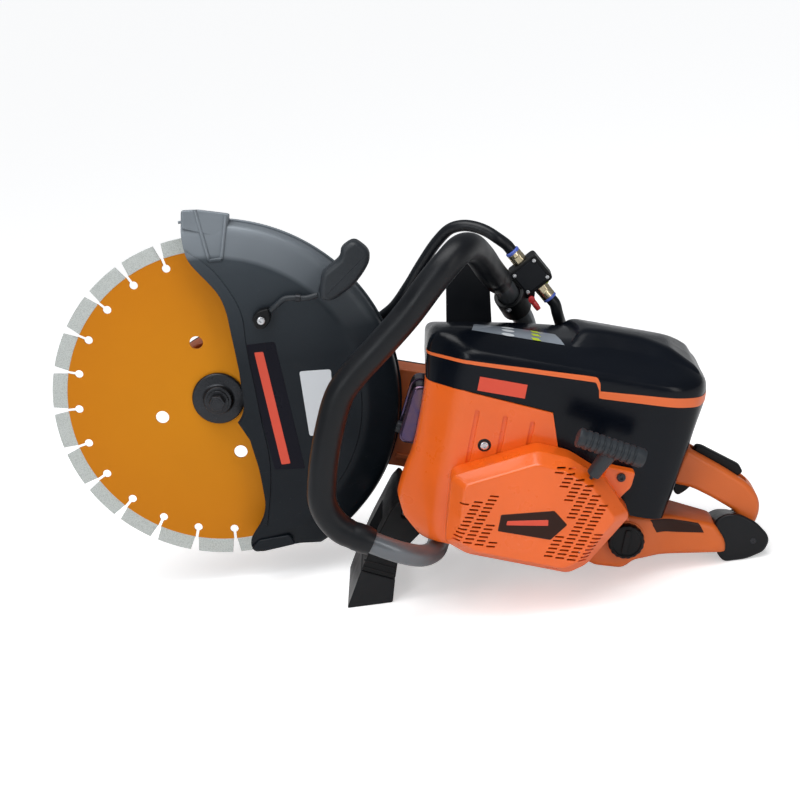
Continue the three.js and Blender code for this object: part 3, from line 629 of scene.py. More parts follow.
def screw_head(centre, axis, radius, height):
    """A domed screw head with a six-sided socket."""
    socket = radius * 0.45
    bottom = height * 0.45

    def six_sided(angle, reach):
        return reach if reach > socket * 1.05 else reach * 0.87 / math.cos(from_flat(angle))

    profile = [
        (0, 0), (radius, 0), (radius, height * 0.55), (radius * 0.93, height * 0.8),
        (radius * 0.78, height * 0.95), (socket * 1.15, height), (socket, height * 0.97), (socket, bottom),
        (0, bottom),
    ]
    return lathe(profile, centre, axis, 48, shape=six_sided)


# -- rounded forms, from outlines seen from the side, the front and above --


def outline_distance(points, outline):
    """Signed distance of 2-D points to a closed outline, negative inside."""
    a = np.array(outline, float)
    b = np.roll(a, -1, axis=0)
    side = b - a
    away = points[:, None, :] - a[None]
    t = np.clip((away * side).sum(-1) / np.maximum((side * side).sum(-1), 1e-9), 0, 1)
    distance = np.linalg.norm(away - t[..., None] * side, axis=-1).min(1)
    x, y = points[:, None, 0], points[:, None, 1]
    spans = (a[:, 1] > y) != (b[:, 1] > y)
    rise = np.where(side[:, 1] == 0, 1e-9, side[:, 1])
    crossings = (spans & (x < side[:, 0] * (y - a[:, 1]) / rise + a[:, 0])).sum(1)
    return np.where(crossings % 2 == 1, -distance, distance)


class Form:
    """The space inside several outlines at once, and under slopes, with the edges between them rounded."""

    AXES = {"side": [0, 2], "front": [1, 2], "plan": [0, 1]}

    def __init__(self, softness, slopes=(), **outlines):
        self.softness = softness
        self.slopes = slopes
        self.outlines = outlines

    def depth(self, points):
        points = np.asarray(points, float)
        distances = []
        for view, outline in self.outlines.items():
            distances.append(outline_distance(points[:, self.AXES[view]], outline))
        for normal, offset in self.slopes:
            distances.append((points @ np.array(normal) - offset) / np.linalg.norm(normal))
        total = distances[0]
        for distance in distances[1:]:
            blend = np.clip(self.softness - np.abs(total - distance), 0, None) / self.softness
            total = np.maximum(total, distance) + blend**2 * self.softness / 4
        return total

    def settle(self, points, lift=0.0):
        """The points moved onto the surface, or lift above it."""
        points = np.array(points, float)
        for _ in range(14):
            value = self.depth(points) - lift
            rises = [self.depth(points + step) - self.depth(points - step) for step in np.eye(3) * 0.2]
            slope = np.stack(rises, 1) / 0.4
            size = np.maximum((slope * slope).sum(1), 0.3)
            points -= (value / size)[:, None] * slope
        return points

    def skin(self, centre, extent, rings=80, spokes=160, reach=3.0):
        """A closed surface, found along rays from the centre."""
        directions = []
        for i in range(1, rings):
            rise = math.pi * i / rings - math.pi / 2
            for j in range(spokes):
                turn = 2 * math.pi * j / spokes
                directions.append((
                    extent[0] * math.cos(turn) * math.cos(rise),
                    extent[1] * math.sin(turn) * math.cos(rise),
                    extent[2] * math.sin(rise),
                ))
        directions += [(0, 0, -extent[2]), (0, 0, extent[2])]
        rays = np.array(directions)
        low, high = np.zeros(len(rays)), np.full(len(rays), reach)
        for _ in range(26):
            middle = (low + high) / 2
            inside = self.depth(np.array(centre) + rays * middle[:, None]) < 0
            low, high = np.where(inside, middle, low), np.where(inside, high, middle)
        verts = [tuple(v) for v in np.array(centre) + rays * low[:, None]]
        faces = []
        bottom, top = len(verts) - 2, len(verts) - 1
        last = (rings - 2) * spokes
        for j in range(spokes):
            k = (j + 1) % spokes
            for row in range(0, last, spokes):
                faces.append((row + j, row + k, row + spokes + k, row + spokes + j))
            faces += [(bottom, k, j), (top, last + j, last + k)]
        return verts, faces

    def laid(self, points, faces, lift):
        """Faces laid on the surface, lifted a little."""
        return [tuple(p) for p in self.settle(points, lift)], faces

    def patch(self, corners, lift=0.3, steps=24):
        """A four-cornered patch of the surface's skin, lifted a little."""
        a, b, c, d = (np.array(p, float) for p in corners)
        grid = [
            (a * (1 - u) + b * u) * (1 - v) + (d * (1 - u) + c * u) * v
            for v in np.linspace(0, 1, steps + 1)
            for u in np.linspace(0, 1, steps + 1)
        ]
        return self.laid(grid, grid_faces(steps, steps), lift)


# -- from shapes to pieces --


@contextmanager
def editing(mesh):
    """The mesh as a bmesh, written back at the end."""
    work = bmesh.new()
    work.from_mesh(mesh)
    yield work
    work.to_mesh(mesh)
    work.free()


def mesh_object(name, shape, open_surface=False):
    verts, faces = shape
    mesh = bpy.data.meshes.new(name)
    mesh.from_pydata([TO_ROW @ Vector(v) for v in verts], [], faces)
    with editing(mesh) as work:
        bmesh.ops.remove_doubles(work, verts=work.verts, dist=2e-6)
        bmesh.ops.dissolve_degenerate(work, edges=work.edges, dist=1e-7)
        if not open_surface:
            bmesh.ops.recalc_face_normals(work, faces=work.faces)
    return placed(name, mesh)


def apply_modifiers(obj):
    bpy.context.view_layer.update()
    evaluated = obj.evaluated_get(bpy.context.evaluated_depsgraph_get())
    mesh = bpy.data.meshes.new_from_object(evaluated)
    obj.modifiers.clear()
    obj.data = mesh


def combined(obj, shape, operation):
    """obj's mesh cut by a shape, or kept inside it."""
    tool = mesh_object("tool", shape)
    modifier = obj.modifiers.new("cut", "BOOLEAN")
    modifier.operation = operation
    modifier.object = tool
    modifier.solver = "EXACT"
    apply_modifiers(obj)
    bpy.data.objects.remove(tool)


def finished(obj, material, body, replaces=(), sharp=32):
    mesh = obj.data
    mesh.materials.clear()
    mesh.materials.append(MATERIALS[material])
    mesh.polygons.foreach_set("material_index", [0] * len(mesh.polygons))
    mesh.polygons.foreach_set("use_smooth", [True] * len(mesh.polygons))
    mesh.set_sharp_from_angle(angle=math.radians(sharp))
    weighted = obj.modifiers.new("weighted_normals", "WEIGHTED_NORMAL")
    weighted.keep_sharp = True
    if body:
        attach(obj, body)
    if replaces:
        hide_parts(*([replaces] if isinstance(replaces, str) else replaces))
    return obj


def piece(name, shape, material, body="machine", replaces=(), cuts=(), keep=None, sharp=32):
    """A named piece on a body, with shapes kept or cut away first."""
    obj = mesh_object(name, shape)
    if keep:
        combined(obj, keep, "INTERSECT")
    for tool in cuts:
        combined(obj, tool, "DIFFERENCE")
    return finished(obj, material, body, replaces, sharp)


def decal(name, shape, material):
    """A thin skin laid on a surface."""
    return finished(mesh_object(name, shape, open_surface=True), material, "machine")


def open_shell(obj, form, wall):
    """Only the skin of a form is kept, and given a wall inwards."""
    to_machine = TO_ROW.inverted()
    with editing(obj.data) as work:
        depths = form.depth([tuple(to_machine @ face.calc_center_median()) for face in work.faces])
        inner = [face for face, depth in zip(work.faces, depths) if depth < -0.6]
        bmesh.ops.delete(work, geom=inner, context="FACES")
        bmesh.ops.recalc_face_normals(work, faces=work.faces)
    modifier = obj.modifiers.new("wall", "SOLIDIFY")
    modifier.thickness = wall / 1000
    modifier.offset = -1
    apply_modifiers(obj)


def refined(node, material, bevel):
    """A copy of a CAD node of the machine, with its edges eased."""
    mesh = frame["nodes"][node].data.copy()
    with editing(mesh) as work:
        bmesh.ops.remove_doubles(work, verts=work.verts, dist=1e-6)
        bmesh.ops.dissolve_limit(work, angle_limit=math.radians(1), verts=work.verts, edges=work.edges)
    obj = placed(node + "_detail", mesh)
    modifier = obj.modifiers.new("bevel", "BEVEL")
    modifier.width = bevel / 1000
    modifier.segments = 2
    modifier.limit_method = "ANGLE"
    modifier.angle_limit = math.radians(32)
    modifier.harden_normals = False
    return finished(obj, material, "machine", node)


def dress(material, *nodes):
    """CAD nodes whose shape stays get their finish."""
    for node in nodes:
        mesh = frame["nodes"][node].data
        mesh.materials.clear()
        mesh.materials.append(MATERIALS[material])


# -- hoses --

VALVE = Vector((295, -24, 194.5))
VALVE_TURN = math.radians(40.8)  # its length slopes down to the rear


def along_valve(along, across=0.0, out=0.0):
    return Vector((
        VALVE.x + along * math.cos(VALVE_TURN) - across * math.sin(VALVE_TURN),
        VALVE.y + out,
        VALVE.z - along * math.sin(VALVE_TURN) - across * math.cos(VALVE_TURN),
    ))


def make_hose(name, node, route, steps, with_pieces=()):
    path = spline(route, steps)
    hose = piece(name, sweep(path, HOSE_DIAMETER / 2, 20), "hose", replaces=node)


def make_hoses():
    blade_route = [
        along_valve(-31.4), along_valve(-38), (255, -27, 225.5), (243, -24, 230), (231, -20, 231.5),
        (219, -16, 230), (207, -10, 223), (196.5, -3, 206), (186, 5, 179), (176.5, 14, 150),
        (166, 25, 123), (154, 34, 105), (146, 39.5, 88), (143, 41, 76), (142.8, 41, 70.6),
    ]
    make_hose("water_hose_blade", "water_hose", blade_route, 150)
    supply_route = [
        along_valve(34.4), along_valve(41), (331, -23, 157.5), (337, -15, 146), (343, -6, 134.5),
        (350, 4, 122), (359, 13, 110), (375, 19, 99), (395, 21, 88), (416, 20, 76), (437, 18, 62),
        (452, 17, 50), (460, 17, 42),
    ]
    make_hose("water_hose_supply", "supply_hose", supply_route, 110, [make_hose_connector()])


def make_hose_connector():
    start, end = Vector((460.4, 17, 41.6)), Vector((484, 17, 18.5))
    length = (end - start).length
    profile = [
        (0, 0), (7.5, 0), (7.5, 4), (9, 5), (9, 15), (7.6, 16), (7.6, 22), (8.8, 23), (8.8, length),
        (0, length),
    ]
    shape = turned(profile, 0.8, 3, start, end - start)
    return piece("garden_hose_connector", shape, "brass", replaces="hose_connector")


# -- blade and its flanges --


def turned_by(point, centre_angle):
    c, s = math.cos(centre_angle), math.sin(centre_angle)
    return (point[0] * c - point[1] * s, point[0] * s + point[1] * c)


def core_outline():
    pitch = 2 * math.pi / SEGMENT_COUNT
    half_slot = 1.5
    rim_turn = math.degrees(half_slot / CORE_RADIUS)
    mouth = math.degrees(math.asin(half_slot / KEYHOLE_RADIUS))
    outline = []
    for i in range(SEGMENT_COUNT):
        keyhole = arc((KEYHOLE_CIRCLE, 0), KEYHOLE_RADIUS, -mouth, -360 + mouth, 18)
        slot = [(CORE_RADIUS, -half_slot)] + keyhole + [(CORE_RADIUS, half_slot)]
        outline += [turned_by(p, i * pitch) for p in slot]
        edge = arc((0, 0), CORE_RADIUS, rim_turn, 360 / SEGMENT_COUNT - rim_turn, 6)[1:-1]
        outline += [turned_by(p, i * pitch) for p in edge]
    return outline


def segment(i):
    """One diamond segment."""
    pitch = 360 / SEGMENT_COUNT
    outer = math.degrees(KEYHOLE_RADIUS / BLADE_RADIUS)
    inner = math.degrees(1.9 / CORE_RADIUS)
    start, end = i * pitch, (i + 1) * pitch
    rim = arc((0, 0), BLADE_RADIUS, start + outer, end - outer, 8)
    root = arc((0, 0), CORE_RADIUS - 0.6, end - inner, start + inner, 8)
    return slab(rim + root, -1.6, 1.6, 0.3, 1)


def make_blade():
    body = "blade_rotor"
    holes = [slab(circle((0, 0), 10.5), -3, 3, 0.1, 1)]
    for angle in (30, 120, 210, 300):
        centre = arc((0, 0), 64, angle, angle, 1)[0]
        holes.append(slab(circle(centre, 7, 40), -3, 3, 0.1, 1))
    core = slab(core_outline(), -1.3, 1.3, 0.2, 1)
    piece("blade_core", core, "blade", body, "blade", cuts=[joined(*holes)])
    segments = joined(*(segment(i) for i in range(SEGMENT_COUNT)))
    piece("blade_segments", segments, "segment", body, "blade")
    ring = [(10.3, 1.8), (26, 1.8), (26, 9), (24.5, 10), (10.3, 10)]
    piece("flange_inner", turned_ring(ring, 0.5, 2), "dark_steel", body, "inner_flange")
    flange = [
        (5.4, -1.8), (27.8, -1.8), (27.8, -4.4), (26.6, -6), (17, -7.2), (15.4, -8.4), (14.6, -12.6),
        (13.4, -13), (5.4, -13),
    ]
    piece("flange_outer", turned_ring(flange, 0.7, 3, steps=96), "dark_steel", body, "outer_flange")
    bolt_outline = arc((0, 0), 8.91, 14, 314, 5)
    washer = turned([(0, -13.2), (11.4, -13.2), (11.4, -15.6), (0, -15.6)], 0.6, 3)
    head = soft_slab(bolt_outline, 1.0, 3, -24, -15.4, 0.9)
    mark = turned([(0, -23), (6.2, -23), (5.6, -24.35), (0, -24.35)], 0.4, 2)
    piece("arbor_bolt_head", joined(washer, head, mark), "dark_steel", body, "arbor_bolt")
    dress("steel", "spindle", "spindle_bearing")
    dress("dark_steel", "blade_pulley", "clutch_drum")


# -- blade guard --

GUARD_FRONT = [
    (-69, 215), (-69, 200), (-63, 170), (-54, 150), (-43, 140), (-25, 127), (-13, 116), (-4, 100),
    (2, 83), (10, 62), (18, 40),
]
GUARD_HEEL = [
    (40, -31), (55, -62), (68, -100), (67, -117), (57, -142), (63, -156), (72, -154), (110, -138),
    (128, -136),
]
GUARD_CREASE = [
    (74, -122), (72, -93), (69, -65), (62, -38), (51, -12), (40, 20), (29, 49), (20, 75), (15, 95),
    (8, 110), (-8, 129), (-28, 147), (-54, 158),
]


def guard_region(near_hub, left, right):
    front = soften(GUARD_FRONT, 12, 4, closed=False)
    heel = soften(GUARD_HEEL, 9, 4, closed=False)
    outline = front + near_hub + heel + [(220, -136), (220, 215)]
    return slab(outline, left, right, 0.1, 1)


def guard_wall_profile(hub, face, outward, drop):
    """Half the guard's section: side wall, sloping shoulder and rim, as a closed ring."""
    shoulder = GUARD_RADIUS - 34
    wall = 2.6
    rim = 0.3 * outward
    outer = [
        (hub, face), (shoulder, face), (GUARD_RADIUS - 7, face - 8.6 * outward),
        (GUARD_RADIUS, face - drop * outward), (GUARD_RADIUS, rim),
    ]
    inner = [
        (GUARD_RADIUS - wall, rim), (GUARD_RADIUS - wall, face - (drop + 1) * outward),
        (GUARD_RADIUS - 9, face - 11.4 * outward), (shoulder, face - wall * outward),
        (hub, face - wall * outward),
    ]
    return soften(outer, 5, 4, closed=False) + soften(inner, 3, 3, closed=False)


def make_guard():
    body = "guard"
    near_flange = arc((0, 0), 28.5, 20, -30, 12)
    shell = lathe(guard_wall_profile(28, -30, -1, 13.5), steps=180, closed=True)
    piece("guard_shell_left", shell, "guard", body, "guard_left", keep=guard_region(near_flange, -40, 10))
    near_hub = arc((0, 0), 44, 70, 290, 40)
    shell = lathe(guard_wall_profile(30.1, 24, 1, 16), steps=180, closed=True)
    piece("guard_shell_right", shell, "guard", body, "guard_right", keep=guard_region(near_hub, -10, 40))
    make_guard_border(body)
    make_guard_tip(body)
    make_guard_labels(body)
    make_guard_grip(body)
    make_guard_water(body)


def make_guard_border(body):
    """The raised band along the front edge, and the bulge at the rear."""
    edge = soften(GUARD_FRONT[2:], 12, 4, closed=False)
    edge += arc((0, 0), 29, 20, -30, 12)
    edge += soften(GUARD_HEEL[:5], 9, 4, closed=False)
    crease = soften(GUARD_CREASE, 14, 4, closed=False)
    outline = inset(edge + crease, 0.7)
    piece("guard_border", slab(outline, -31.4, -29, 0.9), "guard", body)
    inner_side = soften([(138, -58), (133, -25), (132, 8), (136, 42)], 20, 5, closed=False)
    bulge = arc((0, 0), 152, 24, -26, 24) + inner_side
    piece("guard_bulge", slab(bulge, -30.9, -29, 0.8), "guard", body)
    rim = arc((0, 0), GUARD_RADIUS + 0.9, 111, -46, 120)
    path = [(x, -1.5, z) for x, z in rim]
    piece("guard_rim_seam", sweep(path, 1.5, 12), "guard", body)
    right = arc((0, 0), 150, 100, -35, 60) + arc((0, 0), 60, -35, 100, 30)
    piece("guard_right_panel", slab(inset(right, 1), 23, 25.2, 0.9), "guard", body)


def on_shoulder(x, z, lift=0.2):
    """A point on the guard's sloping left shoulder."""
    return Vector((x, -30 - lift + 0.32 * max(0, math.hypot(x, z) - 157), z))


def make_guard_tip(body):
    lug = [(-67, 196), (-64, 178), (-30, 176), (-18, 184), (-17, 201), (-50, 199.5)]
    verts, faces = soft_slab(lug, 3, 3, -24, -2, 2)
    sloped = [(x, y + 0.35 * max(0, z - 174) if y < -13 else y, z) for x, y, z in verts]
    trimmed = [(x, y, z - 0.3 * (v[1] + 24) if z > 186 else z) for (x, y, z), v in zip(sloped, verts)]
    piece("guard_tip", (trimmed, faces), "guard", body, "guard_left")
    ribs = []
    for start, end in (((-53, 198), (-30, 152)), ((-30, 152), (-18, 156)), ((-18, 156), (-21, 198))):
        path = [Vector(start).lerp(Vector(end), k / 8) for k in range(9)]
        ribs.append(sweep([on_shoulder(x, z) for x, z in path], 2.1, 12))
    piece("guard_tip_ribs", joined(*ribs), "guard", body)
    heel = [(60, -151), (66, -140), (98, -128), (106, -137), (72, -152)]
    piece("guard_heel_block", soft_slab(heel, 3, 3, -33, -29, 1.2), "guard", body)


def make_guard_labels(body):
    dark = [(17, 70), (49, 79), (102, -52), (71, -59)]
    piece("blank_sticker_dark", soft_slab(dark, 2, 3, -30.4, -29.5, 0.15, 1), "dark_label", body)
    bar = [(30, 64), (39, 66.5), (86, -49), (77, -52)]
    piece("blank_sticker_bar", soft_slab(bar, 1.5, 3, -30.6, -29.8, 0.15, 1), "badge", body)
    white = [(79, 52), (111, 60), (114, 47), (109, -13), (101, -16)]
    piece("blank_sticker_white", soft_slab(white, 3, 4, -30.5, -29.5, 0.15, 1), "label", body)


def make_guard_grip(body):
    grip = [
        (87, 136), (84, 163), (92, 172), (101, 183), (99, 192), (111, 204), (128, 195), (131, 185),
        (127, 172), (119, 156), (100, 136),
    ]
    smooth = soften(grip, 7, 4)
    piece("guard_grip_body", slab(smooth, -52, -30.3, 6, 5), "grip", body, "guard_grip")
    base = [(84, 139), (86, 160), (112, 156), (106, 139)]
    piece("guard_grip_base", soft_slab(base, 5, 4, -38, -29.6, 2.5), "grip", body)


def make_guard_water(body):
    route = [
        (40, -37, 113), (45, -38, 120), (52, -38, 128), (62, -38, 131), (73, -38, 132.5), (84.6, -38, 138),
    ]
    pipe = spline(route, 60)
    piece("water_pipe", sweep(pipe, 3, 16), "grip", body, "water_pipe_left")
    piece("water_pipe_clip", rod(pipe[34], pipe[40], 4.0, 24), "dark_steel", body)
    nozzle = [(22, 102), (27, 111), (37.5, 116), (42, 104), (37, 94), (29, 92)]
    smooth = soften(nozzle, 3, 4)
    piece("nozzle_block_left", slab(smooth, -42, -30.3, 1.6), "black", body, "nozzle_left")
    piece("nozzle_block_right", slab(smooth, 24.3, 36, 1.6), "black", body, "nozzle_right")
    for side, y, outward, node in (("left", -42, -1, "nozzle_screw_left"), ("right", 36, 1, ())):
        head = screw_head((32, y, 102.5), (0, outward, 0), 4.2, 2.8)
        piece("nozzle_bolt_" + side, head, "steel", body, node)


# -- engine covers --

COVER_SEAM = [
    (190, 96.5), (239, 101), (329, 94), (345, 48), (414, 48), (410, 20), (425, 2), (460, 1.5),
]
COVER_TOP = [
    (476, 95), (483, 122), (478, 141), (460, 155), (434, 163), (400, 168), (372, 168), (352, 160),
    (330, 157), (222, 156), (203, 147), (197, 131),
]
COVER_ACROSS = [
    (-165, -40), (-165, 138), (-138, 152), (-112, 169), (-66, 169), (-44, 153), (-20, 128),
    (8, 100), (8, -40),
]
COVER_PLAN = [
    (194, -130), (240, -165), (442, -165), (469, -150), (483, -120), (483, -50), (469, -10),
    (448, 8), (214, 8), (192, -20),
]
COVER_FALL = ((-0.165, 0.27, 1), 86.67)  # the top falls away to the front and to the right
COVER_FALL_REAR = ((0, 0.2, 1), 152.5)
COVER = Form(
    9,
    slopes=[COVER_FALL],
    side=soften([(204, -40), (455, -40), (460, 1.5)] + COVER_TOP + [(203, 95)], 6, 5),
    front=soften(COVER_ACROSS, 6, 5),
    plan=soften(COVER_PLAN, 9, 5),
)


def make_top_cover():
    shell = mesh_object("top_cover_shell", COVER.skin((335, -80, 60), (150, 95, 110), 110, 220))
    above_seam = COVER_SEAM + COVER_TOP[:1] + [(500, 95), (500, 190), (170, 190), (170, 108)]
    combined(shell, slab(above_seam, -190, 30, 0.1, 1), "INTERSECT")
    open_shell(shell, COVER, 3)
    finished(shell, "cover", "machine", "top_cover", 40)
    make_cover_stripe()
    make_cover_top_details()


def stripe_height(x):
    """The stripe rises to its step, drops there, and runs on nearly level."""
    if x < 369:
        return float(np.interp(x, [190, 240, 364, 373], [123, 129.5, 134, 119.5]))
    return float(np.interp(x, [373, 467, 480], [119.5, 125, 126]))


def stripe_width(x):
    return float(np.interp(x, [190, 240, 364, 374, 467], [2.8, 3.6, 6.0, 7.6, 10]))


def make_cover_stripe():
    """A stripe round the cover, from the front face along the left side to the rear."""
    corners = [(190, -60), (194, -130), (240, -165), (442, -165), (469, -150), (483, -120), (483, -70)]
    steps = 260
    path = spline([(x, y, 0) for x, y in soften(corners, 9, 5, closed=False)], steps)
    path = path[int(steps * 0.13):int(steps * 0.9) + 1]
    across = 4
    points = []
    for p in path:
        for k in range(across + 1):
            points.append((p.x, p.y, stripe_height(p.x) + stripe_width(p.x) * (k / across - 0.5)))
    decal("cover_stripe", COVER.laid(points, grid_faces(len(path) - 1, across), 0.3), "stripe")


def make_cover_top_details():
    """The raised rear deck, a plain control panel with three dots, and a blank badge."""
    side = [
        (330, 140), (334, 152), (347, 170), (372, 173), (404, 172), (436, 166), (464, 154), (477, 138),
    ]
    deck = Form(
        4,
        slopes=[COVER_FALL_REAR],
        side=soften(side, 5, 4),
        front=soften([(-146, 136), (-134, 153), (-114, 172), (-62, 172), (-44, 158), (-30, 136)], 5, 4),
        plan=soften([(330, -150), (455, -150), (476, -126), (476, -44), (455, -20), (330, -20)], 12, 4),
    )
    piece("cover_rear_deck", deck.skin((400, -90, 150), (80, 60, 30), 60, 140), "cover", sharp=40)
    badge = COVER.patch([(252, -175, 103.2), (299, -175, 103), (299, -175, 117.2), (252, -175, 117.5)], 0.4)
    decal("cover_badge_blank", badge, "badge")
    panel = COVER.patch([(238, -136, 165), (330, -136, 165), (322, -108, 165), (240, -108, 165)], 0.35)
    decal("cover_top_panel", panel, "panel")
    for i, y in enumerate((-133.5, -123, -112.5)):
        dot = [(274 + 6.5 * u, y + 3.6 * v, 165) for u, v in circle((0, 0), 1, 24)]
        decal(f"cover_dot_{i + 1}", COVER.laid(dot, [tuple(range(24))], 0.7), "label")
        near, far = y - 2.8, y + 2.8
        mark = COVER.patch([(299, near, 165), (307, near, 165), (304, far, 165), (297, far, 165)], 0.7, 4)
        decal(f"cover_mark_{i + 1}", mark, "dot")


def make_side_shroud():
    seam = [(239, 100.6), (328.7, 93.6), (344.6, 47.6), (413.6, 47.6), (409.6, 19.6), (424.5, -2.5)]
    under = [(386, -2.5), (380, -59), (226, -59), (206, -45), (194, -23), (192.5, 9), (192, 41)]
    outline = [(194, 96.5)] + seam + under
    full = Form(
        8,
        side=soften(
            [
                (198, 120), (470, 120), (470, -59), (222, -60), (204, -50), (194.5, -32), (197, -8),
                (203.5, 25), (204, 56), (203, 93),
            ],
            12, 5,
        ),
        plan=soften([(190, -60), (192, -128), (238, -165), (480, -165), (480, -60)], 12, 5),
    )
    shell = mesh_object("side_shroud_shell", full.skin((320, -112, 30), (140, 60, 90), 90, 200))
    combined(shell, slab(outline, -200, -119.3, 0.1, 1), "INTERSECT")
    open_shell(shell, full, 3)
    grooves = []
    for x, low, high in ((256, 28, 84), (284, 41, 83), (311, 55, 82)):
        groove = [(x - 2.3, low), (x + 2.3, low), (x + 2.3, high), (x - 2.3, high)]
        grooves.append(soft_slab(groove, 1.8, 3, -166, -162.9, 0.3, 1))
    opening = lathe([(0, -175), (46, -175), (46, -150), (0, -150)], (CRANK_X, 0, 0))
    combined(shell, joined(*grooves), "DIFFERENCE")
    combined(shell, opening, "DIFFERENCE")
    finished(shell, "orange", "machine", "side_shroud", 40)
    # painted shade: a dark disc under the bolt head stands in for the shade in its recess
    recess_shade = turned([(0, 0), (7, 0), (5.6, 1.4), (0, 1.4)], 0.4, 2, (269, -164.6, 50), (0, -1, 0))
    piece("shroud_bolt_painted_shade", recess_shade, "painted_shade")
    piece("shroud_bolt", screw_head((269, -165.4, 50), (0, -1, 0), 4.2, 3), "steel")


# -- recoil starter --

STARTER_OUTLINE = [
    (241, 22), (247, -46), (270, -55), (372, -58), (388, -46), (420, 12), (388, 44), (350, 60), (318, 62),
]


def inside(point, outline):
    return outline_distance(np.array([point], float), outline)[0] < 0


def starter_louvres():
    """Rows of slits in two fields of the starter's face, left and right of its plain middle."""
    fields = [
        [(249, -40), (249, 1), (268, 6), (303, 28), (285, 4), (285, -12), (294, -40)],
        [
            (334, 56), (357, 52), (390, 28), (392, 6), (391, -30), (384, -44), (340, -44), (352, -20),
            (363, 0), (352, 26),
        ],
    ]
    slots = []
    for row in range(24):
        z = -38.5 + 4.3 * row
        for column in range(14):
            x = 256 + 11.4 * column + 1.4 * row % 11.4
            if any(inside((x, z), field) for field in fields):
                corners = [(x - 4.4, z - 1.0), (x + 4.4, z - 0.2), (x + 4.4, z + 1.7), (x - 4.4, z + 0.9)]
                slots.append(soft_slab(corners, 0.8, 2, -207, -196, 0.1, 1))
    return slots


def starter_side_slits():
    """Slits through the starter's rear wall, each sloping a little down to the rear."""
    slits = []
    for z in (-40 + 6.4 * k for k in range(12)):
        slits.append(slab([(378, z), (430, z - 5), (430, z - 2.2), (378, z + 2.8)], -187, -171, 0.1, 1))
    return slits


def make_starter():
    outline = soften(STARTER_OUTLINE, 6, 4)
    centre = (324, 2)
    outer = [(0, -165.4), (0, -189.5), (0.01, -191), (0.14, -202.8), (0.16, -204.4), (0.185, -205)]
    inner = [(0.04, -164), (0.04, -189.5), (0.17, -201.4), (0.20, -202)]
    piece(
        "starter_housing", tapered(outline, centre, outer), "orange", replaces="starter_cover",
        cuts=[tapered(outline, centre, inner), joined(*starter_louvres()), joined(*starter_side_slits())],
    )
    # painted shade: a dark sheet inside the housing, so that the louvres look dark inside
    piece("starter_painted_shade_screen", tapered(outline, centre, [(0.22, -199.5), (0.22, -198.9)]), "painted_shade")
    badge = [(294, -4), (344, 9), (359, -3), (346, -21), (294, -21)]
    piece("starter_badge_blank", soft_slab(badge, 1.2, 3, -205.5, -204.6, 0.2, 1), "brown_label")
    bar = [(301, -9), (340, -1), (341, -7), (301, -13.5)]
    piece("starter_badge_bar", soft_slab(bar, 1, 3, -205.8, -205.2, 0.15, 1), "badge")
    block = [(386, 30), (389, 53), (418, 52), (417, 36), (406, 20)]
    piece("starter_bracket", soft_slab(block, 3, 3, -178, -165.3, 1.5), "orange")
    piece("starter_bracket_bolt", screw_head((405, -177.8, 45), (0, -1, 0), 4.4, 3.2), "dark_steel")
    make_starter_pull()
    dress("black", "starter_pulley")


ROPE_START = Vector((358.4, -184, 2))
ROPE_END = Vector((376, -199, 54))
PULL = (ROPE_END - ROPE_START).normalized()


def make_starter_pull():
    body = "starter_pull"
    start, end = Vector((350, -212, 89)), Vector((417, -212, 78))
    length = (end - start).length
    profile = [(0, 0), (9, 0), (10.3, 1.5), (10.3, 4)]
    ribs = 9
    for k in range(ribs):
        along = 6 + k * (length - 12) / ribs
        step = (length - 12) / ribs
        profile += [(9.2, along), (9.2, along + 1.4), (10.3, along + 2.2), (10.3, along + step - 0.8)]
    profile += [(10.3, length - 3), (8.6, length), (0, length)]
    grip = lathe(profile, start, end - start, 40, shape=lambda a, r: r * (1 - 0.12 * abs(math.cos(a)) ** 4))
    stem_base, stem_top = ROPE_START + PULL * 53, ROPE_START + PULL * 86
    stem = sweep(
        [stem_base.lerp(stem_top, k / 12) for k in range(13)], [7 + 3 * (k / 12) ** 2 for k in range(13)], 28
    )
    piece("starter_grip", joined(grip, stem), "grip", body, "starter_handle")
    steps = 160
    cord = [ROPE_START.lerp(stem_base + PULL * 2, k / steps) for k in range(steps + 1)]
    rope = finished(mesh_object("starter_cord", sweep(cord, 1.75, 12)), "rope", None, "starter_rope")
    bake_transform(rope)


# -- fuel tank and rear handle --


def make_tank():
    side = [
        (392, -3), (392, -58), (404, -62), (432, -60), (442, -49), (535, -32), (532, -20),
        (517, -4), (465, -1), (425, -1),
    ]
    plan = [
        (391, -150), (445, -150), (470, -136), (538, -132), (538, -125), (522, -118), (522, -88),
        (470, -78), (445, -30), (391, -30),
    ]
    tank = Form(7, side=soften(side, 5, 4), plan=soften(plan, 8, 4))
    skin = tank.skin((445, -100, -28), (70, 50, 30), 80, 160)
    piece("tank_body", skin, "orange_matte", replaces="fuel_tank", sharp=50)
    label = tank.patch([(454, -160, -4), (500, -150, -2), (508, -150, -13), (468, -160, -18)], 0.35)
    decal("tank_label_blank", label, "brown_label")
    collar = [(11, -3), (19.6, -3), (19.6, 2.4), (18.6, 3), (11, 3)]
    piece("tank_collar", turned_ring(collar, 0.6, 2, (428, -148, -28), (0, -1, 0)), "orange_matte")


def make_fuel_cap():
    def knurl(angle, reach):
        return reach - 0.7 * (0.5 + 0.5 * math.cos(angle * 18)) if reach > 15.5 else reach

    profile = [
        (0, 0), (13, 0), (13, 8), (17.6, 8.6), (18.3, 10), (18.3, 15), (17, 16.6), (15, 16.8),
        (14.6, 15.4), (0, 15.4),
    ]
    cap = lathe(profile, (428, -142, -28), (0, -1, 0), 144, shape=knurl)
    bar = soft_slab([(424.6, -41), (431.4, -41), (431.4, -15), (424.6, -15)], 3, 3, -159, -156, 1.2)
    piece("fuel_cap_body", joined(cap, bar), "black", "tank_cap", "fuel_cap", sharp=40)


